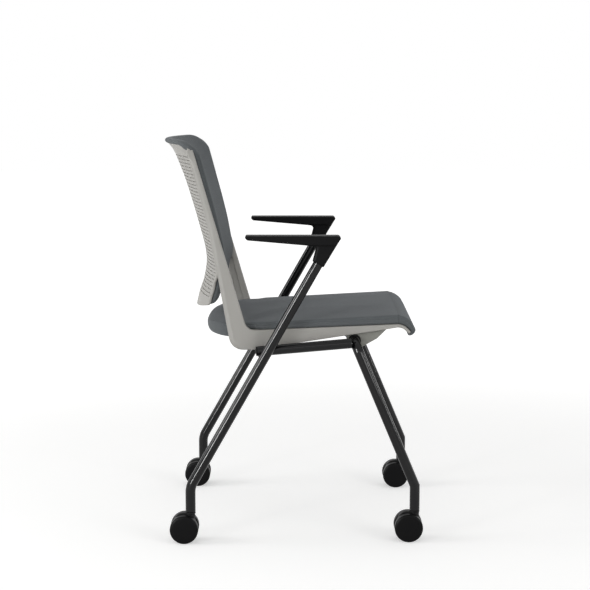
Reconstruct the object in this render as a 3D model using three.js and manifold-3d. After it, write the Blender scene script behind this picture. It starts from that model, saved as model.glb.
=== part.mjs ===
// Nesting chair on four twin-wheel casters, with a tip-up shell and fixed arms.
// Millimetres. +Z is up, the chair faces -Y, and the sitter's right hand is at -X.
// The origin is on the floor, midway between the front wheels and the back's top.
import * as THREE from 'three';
import { mergeVertices } from 'three/addons/utils/BufferGeometryUtils.js';
import Module from 'manifold-3d';

const wasm = await Module();
wasm.setup();

// Shared sizes
const tubeDiameter = 22;
const tubeWall = 1.5;
const seatGap = 0.3;
const runningGap = 0.5;
const cutOverrun = 6;

// Leg frame
const footSpread = 490;
const rearLegReach = 220;
const legEndHeight = 66;
const frontLegSpread = 29;
const rearLegSpread = 43;
const rearTopSpread = 33;
const frontBendHeight = 121;
const rearBendHeight = 122;
const frontBendRadius = 14;
const rearBendRadius = 46;
const pivotReach = 138.5;
const pivotHeight = 434.5;
const pivotBendRadius = 28;
const rearTopReach = 80.6;
const sideTubeRearReach = 74.5;
const sideTubeDrop = 18.5;
const crossTubeReach = 63.7;
const crossTubeDrop = 23.5;

// Arms
const armTopHeight = 671;
const armFrontReach = 107;
const armRearReach = 97;
const armWidth = 42;
const armTipThickness = 9.5;
const armRootThickness = 21;
const armRootReach = 40;
const armInsertDrop = 21;
const armNeckDrop = 62;
const armNeckWall = 2.2;
const armNeckSpread = 11;
const armNeckBevel = 6;
const armEdgeRadius = 3;
const armTipRadius = 4;

// Casters
const wheelDiameter = 62;
const wheelWidth = 20;
const wheelFaceChamfer = 4;
const wheelCapDepth = 4;
const casterWidth = 56;
const casterTrail = 13.5;
const stemDiameter = 11;
const stemReach = 34;
const stemStep = 1;
const stemSeatDepth = 20;
const axleDiameter = 8;
const hoodWidth = 13;
const hoodMargin = 5;
const hoodCrest = 3;
const neckDiameter = 20;
const socketLength = 38;
const socketFlange = 3;

// Shell and seat
const shellHalfWidth = 220;
const armBarWidth = 14;
const railRearReach = 97;
const railRearRise = 24.7;
const railFrontReach = 243;
const railFrontRise = 39;
const noseReach = 261;
const noseRise = 21.5;
const noseBendRadius = 14;
const railHeelReach = 131.5;
const railHeelDrop = 18;
const railKneeReach = 85;
const railToeReach = 215;
const railToeRise = 28.5;
const lipThickness = 6;
const heelRadius = 32;
const elbowRadius = 22;
const uprightTaperWidth = 15;
const uprightTopWidth = 10;
const uprightLean = 0.295;
const uprightTaperShare = 0.586;
const uprightTopDrop = 12;
const barBevel = 2;
const taperRadius = 300;
const cornerRadius = 46;
const panThickness = 4;
const panRearReach = 118;
const panRibDepth = 9;
const panRibWidth = 3;
const panRibPitch = 62;
const panFlangeDepth = 14;
const panFlangeRearReach = 70;
const panScrewReaches = [-70, 20];
const panScrewLength = 11;

// Back
const backBottomRise = 59.5;
const backLength = 371;
const backWaistSetback = 86.7;
const backTopSetback = 67.3;
const backSideWaistSetback = 53.7;
const backSideTopSetback = 10.3;
const backTailRise = 18;
const backSheet = 5;
const backTailInset = 16;
const backTailLength = 74;
const tailBlend = 22;
const tailCornerRadius = 14;
const slotRows = 12;
const slotColumns = 7;
const slotHeight = 7;
const slotFieldRise = 34;
const slotFieldDrop = 23;
const slotFieldMargin = 22;
const slotBridge = 14;

// Cushions
const padSideGap = 3;
const backPadBottomGap = 5;
const backPadEdge = 16;
const backPadTopEdge = 20.5;
const backPadSwellLength = 111;
const backPadCrown = 6;
const backPadRollRise = 7;
const backPadTaper = 1.2;
const padClearance = 1;
const padShoulder = 12;
const seatPadInset = 4;
const seatPadEdge = 15.5;
const seatPadFrontEdge = 19.5;
const seatPadCrown = 4;
const seatPadNose = 12;
const seatPadRearReach = 193;
const seatRollDrop = 18.2;
const seatRollThickness = 32;
const seatRollRadius = 11;
const padStepReach = 77;
const noseTaper = 6;
const grooveDepth = 2;

// Pivot
const bushWall = 2;
const bushLength = 36;
const bracketWidth = 32;
const bracketInset = 42;
const bracketHoldWall = 5;
const bracketFrontReach = 208;
const bracketChinReach = 188;
const bracketChinRise = 4.5;
const bracketBevel = 1;
const clampEar = 12;
const clampWall = 4;
const clampNeck = 1;
const clampShoulder = 3;
const clampScrewWall = 1;
const bushSlitAngle = 0.12;
const screwDiameter = 5;
const screwHeadDiameter = 9;
const screwHeadHeight = 3.5;
const screwLength = 24;
const bufferThickness = 2;
const bufferLength = 18;
const bufferHalfAngle = 0.9;
const plugFlange = 2;
const plugDepth = 12;

// Facets
const tubeSides = 16;
const boreSides = 10;
const wheelSides = 26;
const pinSides = 8;
const bendSteps = 5;
const bufferSteps = 6;

const tubeRadius = tubeDiameter / 2;
const boreRadius = tubeRadius - tubeWall;
const frontLegY = rearLegReach - footSpread;
const pivotY = -pivotReach;

// Half widths: the legs stand clear of the shell, and the cushions lie inside its edges
const innerHalfWidth = shellHalfWidth - armBarWidth;
const frontHalfTrack = shellHalfWidth + frontLegSpread;
const rearHalfTrack = shellHalfWidth + rearLegSpread;
const rearTopHalfTrack = shellHalfWidth + rearTopSpread;
const backTailHalfWidth = innerHalfWidth - backTailInset;
const backPadHalfWidth = innerHalfWidth - padSideGap;
const seatPadHalfWidth = shellHalfWidth - seatPadInset;
const seatPadNeckHalfWidth = innerHalfWidth - padSideGap;

// Heights: the shell rides on the pivot, and the leg frame's upper end carries the arms
const crossTubeHeight = pivotHeight - crossTubeDrop;
const rearTopHeight = armTopHeight - armInsertDrop;
const armNeckHeight = armTopHeight - armNeckDrop;
const railRearHeight = pivotHeight + railRearRise;
const railFrontHeight = pivotHeight + railFrontRise;
const noseHeight = pivotHeight + noseRise;
const railHeelHeight = pivotHeight - railHeelDrop;
const railToeHeight = pivotHeight + railToeRise;
const bracketChinHeight = pivotHeight + bracketChinRise;
const seatRollBottomHeight = railRearHeight - seatRollDrop;
const seatRollTopHeight = seatRollBottomHeight + seatRollThickness;
const backBottomHeight = pivotHeight + backBottomRise;
const backTopHeight = backBottomHeight + backLength;
const backTailHeight = backBottomHeight + backTailLength;
const slotFieldBottom = backBottomHeight + slotFieldRise;
const slotFieldTop = backTopHeight - slotFieldDrop;
const uprightTopHeight = backTopHeight - uprightTopDrop;
const uprightTaperHeight = railRearHeight + uprightTaperShare * (uprightTopHeight - railRearHeight);
const backPadBottomHeight = backBottomHeight + backPadBottomGap;
const backPadSwellHeight = backPadBottomHeight + backPadSwellLength;
const backPadRollHeight = backTopHeight + backPadRollRise;

// The back's reach behind the uprights' front edge, which leans away from the seat
const backWaistReach = uprightFront(backBottomHeight) + backWaistSetback;
const backSideWaistReach = uprightFront(backBottomHeight) + backSideWaistSetback;
const backTopReach = uprightFront(backTopHeight) + backTopSetback;
const backSideTopReach = uprightFront(backTopHeight) + backSideTopSetback;

const sides = [['right', -1], ['left', 1]];

// Materials
function finish(color, roughness, metalness) {
  return () => new THREE.MeshStandardMaterial({ color, roughness, metalness });
}
const blackPaint = finish(0x242425, 0.35, 0.1);
const blackPlastic = finish(0x1c1c1d, 0.55, 0);
const blackNylon = finish(0x161617, 0.6, 0);
const wheelPlastic = finish(0x19191a, 0.5, 0);
const blackRubber = finish(0x121212, 0.9, 0);
const brightSteel = finish(0xb9bbbd, 0.3, 1);
const greyShell = finish(0xa3a29c, 0.55, 0);
const darkGreyShell = finish(0x777872, 0.6, 0);
const greyFabric = finish(0x5a5e60, 0.85, 0);

const chair = new THREE.Group();

function place(name, geometry, material, parent = chair) {
  const mesh = new THREE.Mesh(geometry, material());
  mesh.name = name;
  parent.add(mesh);
  return mesh;
}

// Solids: closed three.js geometry in, closed geometry out
function toSolid(geometry) {
  const bare = geometry.clone();
  for (const name of Object.keys(bare.attributes)) {
    if (name !== 'position') bare.deleteAttribute(name);
  }
  const merged = mergeVertices(bare, 1e-4);
  const index = merged.index.array;
  const triVerts = [];
  for (let i = 0; i < index.length; i += 3) {
    const [a, b, c] = [index[i], index[i + 1], index[i + 2]];
    if (a !== b && b !== c && c !== a) triVerts.push(a, b, c);
  }
  return new wasm.Manifold(new wasm.Mesh({
    numProp: 3,
    vertProperties: new Float32Array(merged.attributes.position.array),
    triVerts: new Uint32Array(triVerts),
  }));
}

function toGeometry(solid) {
  const { vertProperties, triVerts } = solid.getMesh();
  const geometry = new THREE.BufferGeometry();
  geometry.setAttribute('position', new THREE.BufferAttribute(vertProperties, 3));
  geometry.setIndex(new THREE.BufferAttribute(triVerts, 1));
  geometry.computeVertexNormals();
  return geometry;
}

function joined(first, ...others) {
  return toGeometry(others.reduce((sum, other) => sum.add(toSolid(other)), toSolid(first)));
}

function cutBy(first, ...cutters) {
  return toGeometry(cutters.reduce((rest, cutter) => rest.subtract(toSolid(cutter)), toSolid(first)));
}

function sharedBy(first, second) {
  return toGeometry(toSolid(first).intersect(toSolid(second)));
}

// A centre line of straight runs with a round bend at each inner corner
class BentLine extends THREE.Curve {
  constructor(corners, radii) {
    super();
    this.stations = [];
    const add = (point, tangent) => this.stations.push({ point, tangent });
    const last = corners.length - 1;
    const heading = (i) => corners[i + 1].clone().sub(corners[i]).normalize();
    add(corners[0], heading(0));
    for (let i = 1; i < last; i += 1) {
      const before = heading(i - 1);
      const after = heading(i);
      const turn = before.angleTo(after);
      const reach = radii[i - 1] * Math.tan(turn / 2);
      const inward = after.clone().sub(before).normalize();
      const centre = corners[i].clone().addScaledVector(inward, radii[i - 1] / Math.cos(turn / 2));
      const axis = before.clone().cross(after).normalize();
      const arm = corners[i].clone().addScaledVector(before, -reach).sub(centre);
      for (let step = 0; step <= bendSteps; step += 1) {
        const angle = (turn * step) / bendSteps;
        const swung = arm.clone().applyAxisAngle(axis, angle);
        add(centre.clone().add(swung), before.clone().applyAxisAngle(axis, angle));
      }
    }
    add(corners[last], heading(last - 1));
  }

  get steps() {
    return this.stations.length - 1;
  }

  getPoint(u, target = new THREE.Vector3()) {
    return target.copy(this.stations[Math.round(u * this.steps)].point);
  }

  getPointAt(u, target) {
    return this.getPoint(u, target);
  }

  getTangentAt(u, target = new THREE.Vector3()) {
    return target.copy(this.stations[Math.round(u * this.steps)].tangent);
  }
}

function circlePoints(radius, count) {
  return Array.from({ length: count }, (_, i) => {
    const angle = (2 * Math.PI * i) / count;
    return new THREE.Vector2(radius * Math.cos(angle), radius * Math.sin(angle));
  });
}

function tubeAlong(line, outer = tubeRadius, inner = boreRadius) {
  const section = new THREE.Shape(circlePoints(outer, tubeSides));
  if (inner > 0) section.holes.push(new THREE.Path(circlePoints(inner, boreSides)));
  return new THREE.ExtrudeGeometry(section, { steps: line.steps, extrudePath: line });
}

function vec(x, y, z) {
  return new THREE.Vector3(x, y, z);
}

// An outline drawn in the YZ plane, with round corners, made solid along X
function roundedOutline(corners, facet = 0.35) {
  const points = [];
  corners.forEach(([y, z, radius = 0], i) => {
    const here = new THREE.Vector2(y, z);
    if (radius === 0) {
      points.push(here);
      return;
    }
    const [py, pz] = corners[(i + corners.length - 1) % corners.length];
    const [ny, nz] = corners[(i + 1) % corners.length];
    const toPrevious = new THREE.Vector2(py, pz).sub(here).normalize();
    const toNext = new THREE.Vector2(ny, nz).sub(here).normalize();
    const opening = Math.acos(toPrevious.dot(toNext));
    const centre = here.clone().addScaledVector(
      toPrevious.clone().add(toNext).normalize(), radius / Math.sin(opening / 2));
    const start = here.clone().addScaledVector(toPrevious, radius / Math.tan(opening / 2)).sub(centre);
    const turn = Math.sign(toPrevious.cross(start)) * (Math.PI - opening);
    const steps = Math.max(2, Math.round(Math.abs(turn) / facet));
    for (let step = 0; step <= steps; step += 1) {
      points.push(start.clone().rotateAround(new THREE.Vector2(), (turn * step) / steps).add(centre));
    }
  });
  return points;
}

// Shape x is the chair's Y and shape y its Z; the depth runs along X from lowX to highX
function prismAlongX(points, lowX, highX, bevel = 0, bevelSegments = 1) {
  const shape = new THREE.Shape(points);
  const geometry = new THREE.ExtrudeGeometry(shape, {
    depth: highX - lowX - 2 * bevel,
    bevelEnabled: bevel > 0,
    bevelThickness: bevel,
    bevelSize: bevel,
    bevelOffset: -bevel,
    bevelSegments,
  });
  geometry.rotateX(Math.PI / 2);
  geometry.rotateZ(Math.PI / 2);
  return geometry.translate(lowX + bevel, 0, 0);
}

// A round bar between two points
function roundBar(from, to, radius, count = tubeSides) {
  const length = from.distanceTo(to);
  const geometry = new THREE.CylinderGeometry(radius, radius, length, count);
  const turn = new THREE.Quaternion().setFromUnitVectors(vec(0, 1, 0), to.clone().sub(from).normalize());
  geometry.applyQuaternion(turn);
  const middle = from.clone().lerp(to, 0.5);
  return geometry.translate(middle.x, middle.y, middle.z);
}

// A profile of radius and height turned round the Z axis
function turned(profile, count) {
  const geometry = new THREE.LatheGeometry(profile.map(([r, z]) => new THREE.Vector2(r, z)), count);
  return geometry.rotateX(Math.PI / 2);
}

function drum(radius, low, high, count) {
  return turned([[0, low], [radius, low], [radius, high], [0, high]], count);
}

// Places on the frame
function sideTubeHeight(y) {
  return pivotHeight - (sideTubeDrop * (y - pivotY)) / (sideTubeRearReach - pivotY);
}

function rearLegShare(z) {
  return (z - rearBendHeight) / (rearTopHeight - rearBendHeight);
}

function rearLegY(z) {
  return THREE.MathUtils.lerp(rearLegReach, -rearTopReach, rearLegShare(z));
}

function rearLegX(z) {
  return THREE.MathUtils.lerp(rearHalfTrack, rearTopHalfTrack, rearLegShare(z));
}

// The side tube lies against the inner side of the rear leg where the two cross
function crossingHeight() {
  let height = pivotHeight;
  for (let i = 0; i < 20; i += 1) height = sideTubeHeight(rearLegY(height));
  return height;
}
const sideTubeX = rearLegX(crossingHeight()) - tubeDiameter - seatGap;

function frontLegLine(outset = 0) {
  const foot = (s) => vec(s * frontHalfTrack, frontLegY, legEndHeight - outset);
  const bend = (s) => vec(s * frontHalfTrack, frontLegY, frontBendHeight);
  const shoulder = (s) => vec(s * sideTubeX, pivotY, pivotHeight);
  return new BentLine(
    [foot(-1), bend(-1), shoulder(-1), shoulder(1), bend(1), foot(1)],
    [frontBendRadius, pivotBendRadius, pivotBendRadius, frontBendRadius]);
}

function rearLegLine(s) {
  return new BentLine([
    vec(s * rearHalfTrack, rearLegReach, legEndHeight),
    vec(s * rearHalfTrack, rearLegReach, rearBendHeight),
    vec(s * rearTopHalfTrack, -rearTopReach, rearTopHeight),
  ], [rearBendRadius]);
}

function sideTubeLine(s) {
  return new BentLine([
    vec(s * sideTubeX, pivotY, pivotHeight),
    vec(s * sideTubeX, sideTubeRearReach, sideTubeHeight(sideTubeRearReach)),
  ], []);
}

// Leg frame: the welded tubes
function buildLegFrame() {
  place('front_leg_frame', tubeAlong(frontLegLine()), blackPaint);
  const frontClearance = tubeAlong(frontLegLine(cutOverrun), tubeRadius + seatGap, 0);
  for (const [side, s] of sides) {
    place(`rear_leg_${side}`, tubeAlong(rearLegLine(s)), blackPaint);
    place(`side_tube_${side}`, cutBy(tubeAlong(sideTubeLine(s)), frontClearance), blackPaint);
  }
  const crossTube = new BentLine([
    vec(-sideTubeX, crossTubeReach, crossTubeHeight),
    vec(sideTubeX, crossTubeReach, crossTubeHeight),
  ], []);
  const sideClearances = sides.map(([, s]) => {
    const [front, rear] = sideTubeLine(s).stations;
    const past = rear.point.clone().addScaledVector(rear.tangent, cutOverrun);
    return roundBar(front.point, past, tubeRadius + seatGap);
  });
  const outerTrims = sides.map(([, s]) => {
    const trim = new THREE.BoxGeometry(tubeDiameter, 2 * tubeDiameter, 2 * tubeDiameter);
    return trim.translate(s * (sideTubeX + tubeRadius), crossTubeReach, crossTubeHeight);
  });
  place('rear_cross_tube', cutBy(tubeAlong(crossTube), ...sideClearances, ...outerTrims), blackPaint);
}

// Plugs in the open rear ends of the side tubes
function buildSideTubePlugs() {
  for (const [side, s] of sides) {
    const plug = turned([
      [0, 0], [tubeRadius, 0], [tubeRadius, plugFlange - seatGap],
      [tubeRadius - tubeWall, plugFlange], [0, plugFlange],
    ], boreSides * 2);
    const spigot = drum(boreRadius - 2 * seatGap, -plugDepth, plugFlange / 2, boreSides);
    const mesh = place(`side_tube_plug_${side}`, joined(plug, spigot), blackPlastic);
    const { point, tangent } = sideTubeLine(s).stations[1];
    mesh.position.copy(point).addScaledVector(tangent, seatGap);
    mesh.quaternion.setFromUnitVectors(vec(0, 0, 1), tangent);
  }
}

// Rubber saddles on the rear cross tube, where the shell comes to rest
function buildSeatBuffers() {
  const outer = tubeRadius + seatGap + bufferThickness;
  const arc = (radius, from, to) => Array.from({ length: bufferSteps + 1 }, (_, i) => {
    const angle = Math.PI / 2 + from + ((to - from) * i) / bufferSteps;
    return new THREE.Vector2(
      crossTubeReach + radius * Math.cos(angle), crossTubeHeight + radius * Math.sin(angle));
  });
  const section = [
    ...arc(outer, -bufferHalfAngle, bufferHalfAngle),
    ...arc(tubeRadius + seatGap, bufferHalfAngle, -bufferHalfAngle),
  ];
  for (const [side, s] of sides) {
    const middle = s * (shellHalfWidth - armBarWidth / 2);
    const saddle = prismAlongX(section, middle - bufferLength / 2, middle + bufferLength / 2);
    place(`seat_buffer_${side}`, saddle, blackRubber);
  }
}

// Arm pad: a wedge with a neck that sleeves the top of the rear leg
function buildArmPads() {
  const legSlope = (rearLegReach + rearTopReach) / (rearTopHeight - rearBendHeight);
  const lean = Math.atan(legSlope);
  const neckRadius = tubeRadius + seatGap + armNeckWall;
  const halfNeck = neckRadius / Math.cos(lean);
  const underside = armTopHeight - armRootThickness;
  const neckY = rearLegY(armNeckHeight);
  const dip = neckRadius * Math.sin(lean);
  const rootY = rearLegY(underside) + halfNeck + armNeckSpread;
  const neckCorners = [
    [rootY, underside - armNeckWall],
    [neckY + neckRadius * Math.cos(lean), armNeckHeight + dip],
    [neckY - neckRadius * Math.cos(lean), armNeckHeight - dip],
  ];
  const outline = roundedOutline([
    [armRearReach, armTopHeight, armTipRadius],
    [armRearReach - armEdgeRadius, armTopHeight - armTipThickness, armTipRadius],
    [-armRootReach, underside],
    ...neckCorners,
    [-armFrontReach, armTopHeight - armTipRadius],
    [-armFrontReach + armTipRadius, armTopHeight],
  ]);
  const neckOutline = roundedOutline([
    [rootY, armTopHeight - armTipRadius],
    ...neckCorners,
    [rearLegY(armTopHeight) - halfNeck, armTopHeight - armTipRadius],
  ]);
  const half = armWidth / 2;
  const wedge = sharedBy(
    prismAlongX(outline, -half, half, armEdgeRadius),
    new THREE.BoxGeometry(armWidth, 2 * (armFrontReach + armRearReach), 2 * armRootThickness + armNeckWall)
      .translate(0, 0, armTopHeight));
  const neckSlab = prismAlongX(neckOutline, -neckRadius, neckRadius, armNeckBevel, 2);
  for (const [side, s] of sides) {
    const splay = new THREE.Matrix4();
    const run = (rearTopHalfTrack - rearHalfTrack) / (rearTopHeight - rearBendHeight);
    splay.elements[8] = s * run;
    splay.elements[12] = s * rearTopHalfTrack - s * run * rearTopHeight;
    const body = joined(
      wedge.clone().translate(s * rearTopHalfTrack, 0, 0), neckSlab.clone().applyMatrix4(splay));
    const bore = tubeAlong(rearLegLine(s), tubeRadius + seatGap, 0);
    const end = rearLegLine(s).stations.at(-1);
    const floor = roundBar(end.point.clone().addScaledVector(end.tangent, -seatGap),
      end.point.clone().addScaledVector(end.tangent, seatGap), tubeRadius + seatGap);
    place(`arm_pad_${side}`, cutBy(body, bore, floor), blackPlastic);
  }
}

// Casters: a socket in the leg's end, and a swivelling hood with two wheels
function buildCaster(name, x, y) {
  const caster = new THREE.Group();
  caster.position.set(x, y, 0);
  chair.add(caster);
  const stemRadius = stemDiameter / 2;
  const socketRadius = boreRadius - 2 * seatGap;
  const flangeLow = legEndHeight - seatGap - socketFlange;
  const socketProfile = [
    [stemRadius + runningGap, flangeLow], [tubeRadius, flangeLow], [tubeRadius, legEndHeight - seatGap],
    [socketRadius, legEndHeight - seatGap], [socketRadius, legEndHeight + socketLength],
    [stemRadius + runningGap, legEndHeight + socketLength], [stemRadius + runningGap, flangeLow],
  ];
  place(`${name}_socket`, turned(socketProfile, boreSides), blackNylon, caster);

  const wheelRadius = wheelDiameter / 2;
  const neckTop = flangeLow - runningGap;
  const hoodRadius = wheelRadius - hoodMargin;
  const crestRadius = wheelRadius + hoodCrest;
  const arcPoints = (radius, from, to, count) => Array.from({ length: count }, (_, i) => {
    const angle = from + ((to - from) * i) / (count - 1);
    return new THREE.Vector2(
      casterTrail + radius * Math.cos(angle), wheelRadius + radius * Math.sin(angle));
  });
  const crestHalfAngle = Math.PI / 3;
  const rimHalfAngle = 1.2 * crestHalfAngle;
  const hoodOutline = [
    ...arcPoints(crestRadius, Math.PI / 2 - crestHalfAngle, Math.PI / 2 + crestHalfAngle, 9),
    ...arcPoints(hoodRadius, Math.PI / 2 + rimHalfAngle, 2.5 * Math.PI - rimHalfAngle, 11),
  ];
  const hoodPlate = prismAlongX(hoodOutline, -hoodWidth / 2, hoodWidth / 2);
  const neckTrail = casterTrail - neckDiameter / 2;
  const neckLow = wheelRadius + Math.sqrt(wheelRadius ** 2 - neckTrail ** 2) + runningGap;
  const crestCut = drum(tubeRadius + runningGap, neckTop, neckTop + wheelRadius, boreSides * 2);
  const stemLow = neckTop - stemSeatDepth;
  const stemBore = drum(
    stemRadius - stemStep + seatGap, stemLow - seatGap, neckTop + cutOverrun, pinSides);
  const axleBore = roundBar(
    vec(-hoodWidth, casterTrail, wheelRadius), vec(hoodWidth, casterTrail, wheelRadius),
    axleDiameter / 2 + seatGap, pinSides);
  const neck = drum(neckDiameter / 2, neckLow, neckTop, boreSides * 2);
  place(`${name}_hood`, cutBy(joined(hoodPlate, neck), crestCut, stemBore, axleBore), blackNylon, caster);

  const stem = turned([
    [0, stemLow], [stemRadius - stemStep, stemLow], [stemRadius - stemStep, neckTop + seatGap],
    [stemRadius, neckTop + seatGap], [stemRadius, legEndHeight + stemReach],
    [stemRadius - stemStep, legEndHeight + stemReach + stemStep],
    [0, legEndHeight + stemReach + stemStep],
  ], pinSides);
  place(`${name}_stem`, stem, brightSteel, caster);

  const faceX = casterWidth / 2;
  const axle = roundBar(vec(-faceX + wheelCapDepth + seatGap, casterTrail, wheelRadius),
    vec(faceX - wheelCapDepth - seatGap, casterTrail, wheelRadius), axleDiameter / 2, pinSides);
  place(`${name}_axle`, axle, brightSteel, caster);

  for (const [which, s] of [['outer', Math.sign(x)], ['inner', -Math.sign(x)]]) {
    const bore = axleDiameter / 2 + seatGap;
    const wheel = turned([
      [0, wheelWidth - wheelCapDepth], [bore, wheelWidth - wheelCapDepth], [bore, 0],
      [wheelRadius, 0], [wheelRadius, wheelWidth - wheelFaceChamfer],
      [wheelRadius - wheelFaceChamfer, wheelWidth], [0, wheelWidth],
    ], wheelSides);
    const mesh = place(`${name}_wheel_${which}`, wheel, wheelPlastic, caster);
    mesh.rotation.y = (s * Math.PI) / 2;
    mesh.position.set(s * (faceX - wheelWidth), casterTrail, wheelRadius);
  }
}

// Outline of the shell's seat, seen from the side
function railTop(y) {
  const slope = (railFrontHeight - railRearHeight) / (railRearReach + railFrontReach);
  return railRearHeight + slope * (railRearReach - y);
}

function uprightFront(z) {
  return railRearReach + uprightLean * (z - railRearHeight);
}

function uprightRear(z) {
  const taperRear = uprightFront(uprightTaperHeight) + uprightTaperWidth;
  if (z < uprightTaperHeight) {
    const share = (z - railHeelHeight) / (uprightTaperHeight - railHeelHeight);
    return THREE.MathUtils.lerp(railHeelReach, taperRear, share);
  }
  const topRear = uprightFront(uprightTopHeight) + uprightTopWidth;
  const share = (z - uprightTaperHeight) / (uprightTopHeight - uprightTaperHeight);
  return THREE.MathUtils.lerp(taperRear, topRear, share);
}

// A value read off a smooth curve through shares of a run and of a rise
function throughShares(atShares, valueShares, share) {
  const last = atShares.length - 1;
  const at = THREE.MathUtils.clamp(share, 0, 1);
  let i = 0;
  while (i < last - 1 && at > atShares[i + 1]) i += 1;
  const slope = (k) => {
    const [low, high] = [Math.max(k - 1, 0), Math.min(k + 1, last)];
    return (valueShares[high] - valueShares[low]) / (atShares[high] - atShares[low]);
  };
  const span = atShares[i + 1] - atShares[i];
  const t = (at - atShares[i]) / span;
  const [t2, t3] = [t * t, t * t * t];
  return (2 * t3 - 3 * t2 + 1) * valueShares[i] + (t3 - 2 * t2 + t) * span * slope(i)
    + (3 * t2 - 2 * t3) * valueShares[i + 1] + (t3 - t2) * span * slope(i + 1);
}

const backHeightShares = [0, 0.08, 0.16, 0.27, 0.36, 0.48, 0.62, 0.76, 0.88, 0.95, 1];
const backReachShares = [0.26, 0.18, 0.07, 0, 0.035, 0.165, 0.33, 0.51, 0.695, 0.83, 1];
const backSideReachShares = [0.26, 0.19, 0.07, 0.03, 0.12, 0.24, 0.425, 0.635, 0.81, 0.915, 1];

// Rear face of the back at its middle and at its sides
function backMiddle(z) {
  const share = (z - backBottomHeight) / (backTopHeight - backBottomHeight);
  return backWaistReach
    + (backTopReach - backWaistReach) * throughShares(backHeightShares, backReachShares, share);
}

function backSide(z) {
  const share = (z - backBottomHeight) / (backTopHeight - backBottomHeight);
  return backSideWaistReach
    + (backSideTopReach - backSideWaistReach) * throughShares(backHeightShares, backSideReachShares, share);
}

function backRear(x, z) {
  return THREE.MathUtils.lerp(backMiddle(z), backSide(z), (x / innerHalfWidth) ** 2);
}

// The back's lower edge rises towards the sides, and the rows above it follow less and less
function tailRise(x, z) {
  const fade = THREE.MathUtils.clamp((slotFieldBottom - z) / (slotFieldBottom - backBottomHeight), 0, 1);
  return backTailRise * fade * (x / backTailHalfWidth) ** 2;
}

function cornerDrop(x) {
  const past = Math.max(Math.abs(x) - (shellHalfWidth - cornerRadius), 0);
  return cornerRadius - Math.sqrt(Math.max(cornerRadius ** 2 - past ** 2, 0));
}

function cornerHalfWidth(z) {
  const past = Math.max(z - (backTopHeight - cornerRadius), 0);
  return shellHalfWidth - cornerRadius + Math.sqrt(Math.max(cornerRadius ** 2 - past ** 2, 0));
}

function tailHalfWidth(z) {
  const narrowing = THREE.MathUtils.smoothstep(backTailHeight + tailBlend / 2 - z, 0, tailBlend);
  const past = Math.max(tailCornerRadius - (z - backBottomHeight), 0);
  const corner = tailCornerRadius - Math.sqrt(Math.max(tailCornerRadius ** 2 - past ** 2, 0));
  return THREE.MathUtils.lerp(innerHalfWidth - seatGap, backTailHalfWidth, narrowing) - corner;
}

// A line's copy at a distance to its right, seen along the run, with mitred corners
function besideLine(line, distance) {
  const heading = (i) => {
    const [[a, b], [c, d]] = [line[i], line[i + 1]];
    return new THREE.Vector2(c - a, d - b).normalize();
  };
  const sideways = (d) => new THREE.Vector2(d.y, -d.x);
  return line.map(([y, z, radius = 0], i) => {
    const before = sideways(heading(Math.max(i - 1, 0)));
    const after = sideways(heading(Math.min(i, line.length - 2)));
    const mitre = before.clone().add(after).multiplyScalar(distance / (1 + before.dot(after)));
    return [y + mitre.x, z + mitre.y, Math.max(radius - distance, 0)];
  });
}

const noseLine = [
  [panRearReach, railTop(panRearReach)],
  [-railFrontReach, railFrontHeight, noseBendRadius],
  [-noseReach, noseHeight],
];

// Side arms: seat rail and upright in one bar, cradled over the rear cross tube
function buildSideArms() {
  const [, lipCorner, lipEnd] = besideLine(noseLine, -lipThickness);
  const outline = roundedOutline([
    [-noseReach, noseHeight],
    [-railFrontReach, railFrontHeight, noseBendRadius],
    [railRearReach, railRearHeight, elbowRadius],
    [uprightFront(uprightTopHeight), uprightTopHeight],
    [uprightRear(uprightTopHeight), uprightTopHeight],
    [uprightRear(uprightTaperHeight), uprightTaperHeight, taperRadius],
    [railHeelReach, railHeelHeight, heelRadius],
    [railKneeReach, railHeelHeight, heelRadius],
    [-railToeReach, railToeHeight, heelRadius],
    [lipCorner[0], lipCorner[1], noseBendRadius - lipThickness],
    [lipEnd[0], lipEnd[1]],
  ]);
  const cradle = roundBar(vec(-shellHalfWidth - cutOverrun, crossTubeReach, crossTubeHeight),
    vec(shellHalfWidth + cutOverrun, crossTubeReach, crossTubeHeight),
    tubeRadius + bufferThickness + 2 * seatGap);
  const corner = roundTopPrism();
  for (const [side, s] of sides) {
    const [low, high] = [s * shellHalfWidth, s * innerHalfWidth].sort((a, b) => a - b);
    const bar = sharedBy(prismAlongX(outline, low, high, barBevel), corner);
    const holes = panScrewPlaces().map(([y, z]) => roundBar(
      vec(s * (innerHalfWidth - cutOverrun), y, z),
      vec(s * (shellHalfWidth - panThickness), y, z), screwDiameter / 2, pinSides));
    place(`side_arm_${side}`, cutBy(bar, cradle, ...holes), greyShell);
  }
}

// The shell's front view: straight sides and two round top corners, right through
function roundTopPrism() {
  const reach = backTopReach + noseReach;
  const shape = new THREE.Shape();
  shape.moveTo(-shellHalfWidth, 0);
  shape.lineTo(shellHalfWidth, 0);
  shape.lineTo(shellHalfWidth, backTopHeight - cornerRadius);
  const cornerX = shellHalfWidth - cornerRadius;
  const cornerZ = backTopHeight - cornerRadius;
  shape.absarc(cornerX, cornerZ, cornerRadius, 0, Math.PI / 2, false);
  shape.absarc(-cornerX, cornerZ, cornerRadius, Math.PI / 2, Math.PI, false);
  const prism = new THREE.ExtrudeGeometry(shape, { depth: 2 * reach, bevelEnabled: false, curveSegments: 5 });
  return prism.rotateX(Math.PI / 2).translate(0, reach, 0);
}

// Heights of the back shell's rows: its slots' lower edges, and the ones round its top corners
const cornerShares = [0, 0.1, 0.35, 0.68];

function slotRowHeights() {
  const pitch = (slotFieldTop - slotFieldBottom - slotHeight) / (slotRows - 1);
  return Array.from({ length: slotRows }, (_, i) => slotFieldBottom + i * pitch);
}

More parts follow.
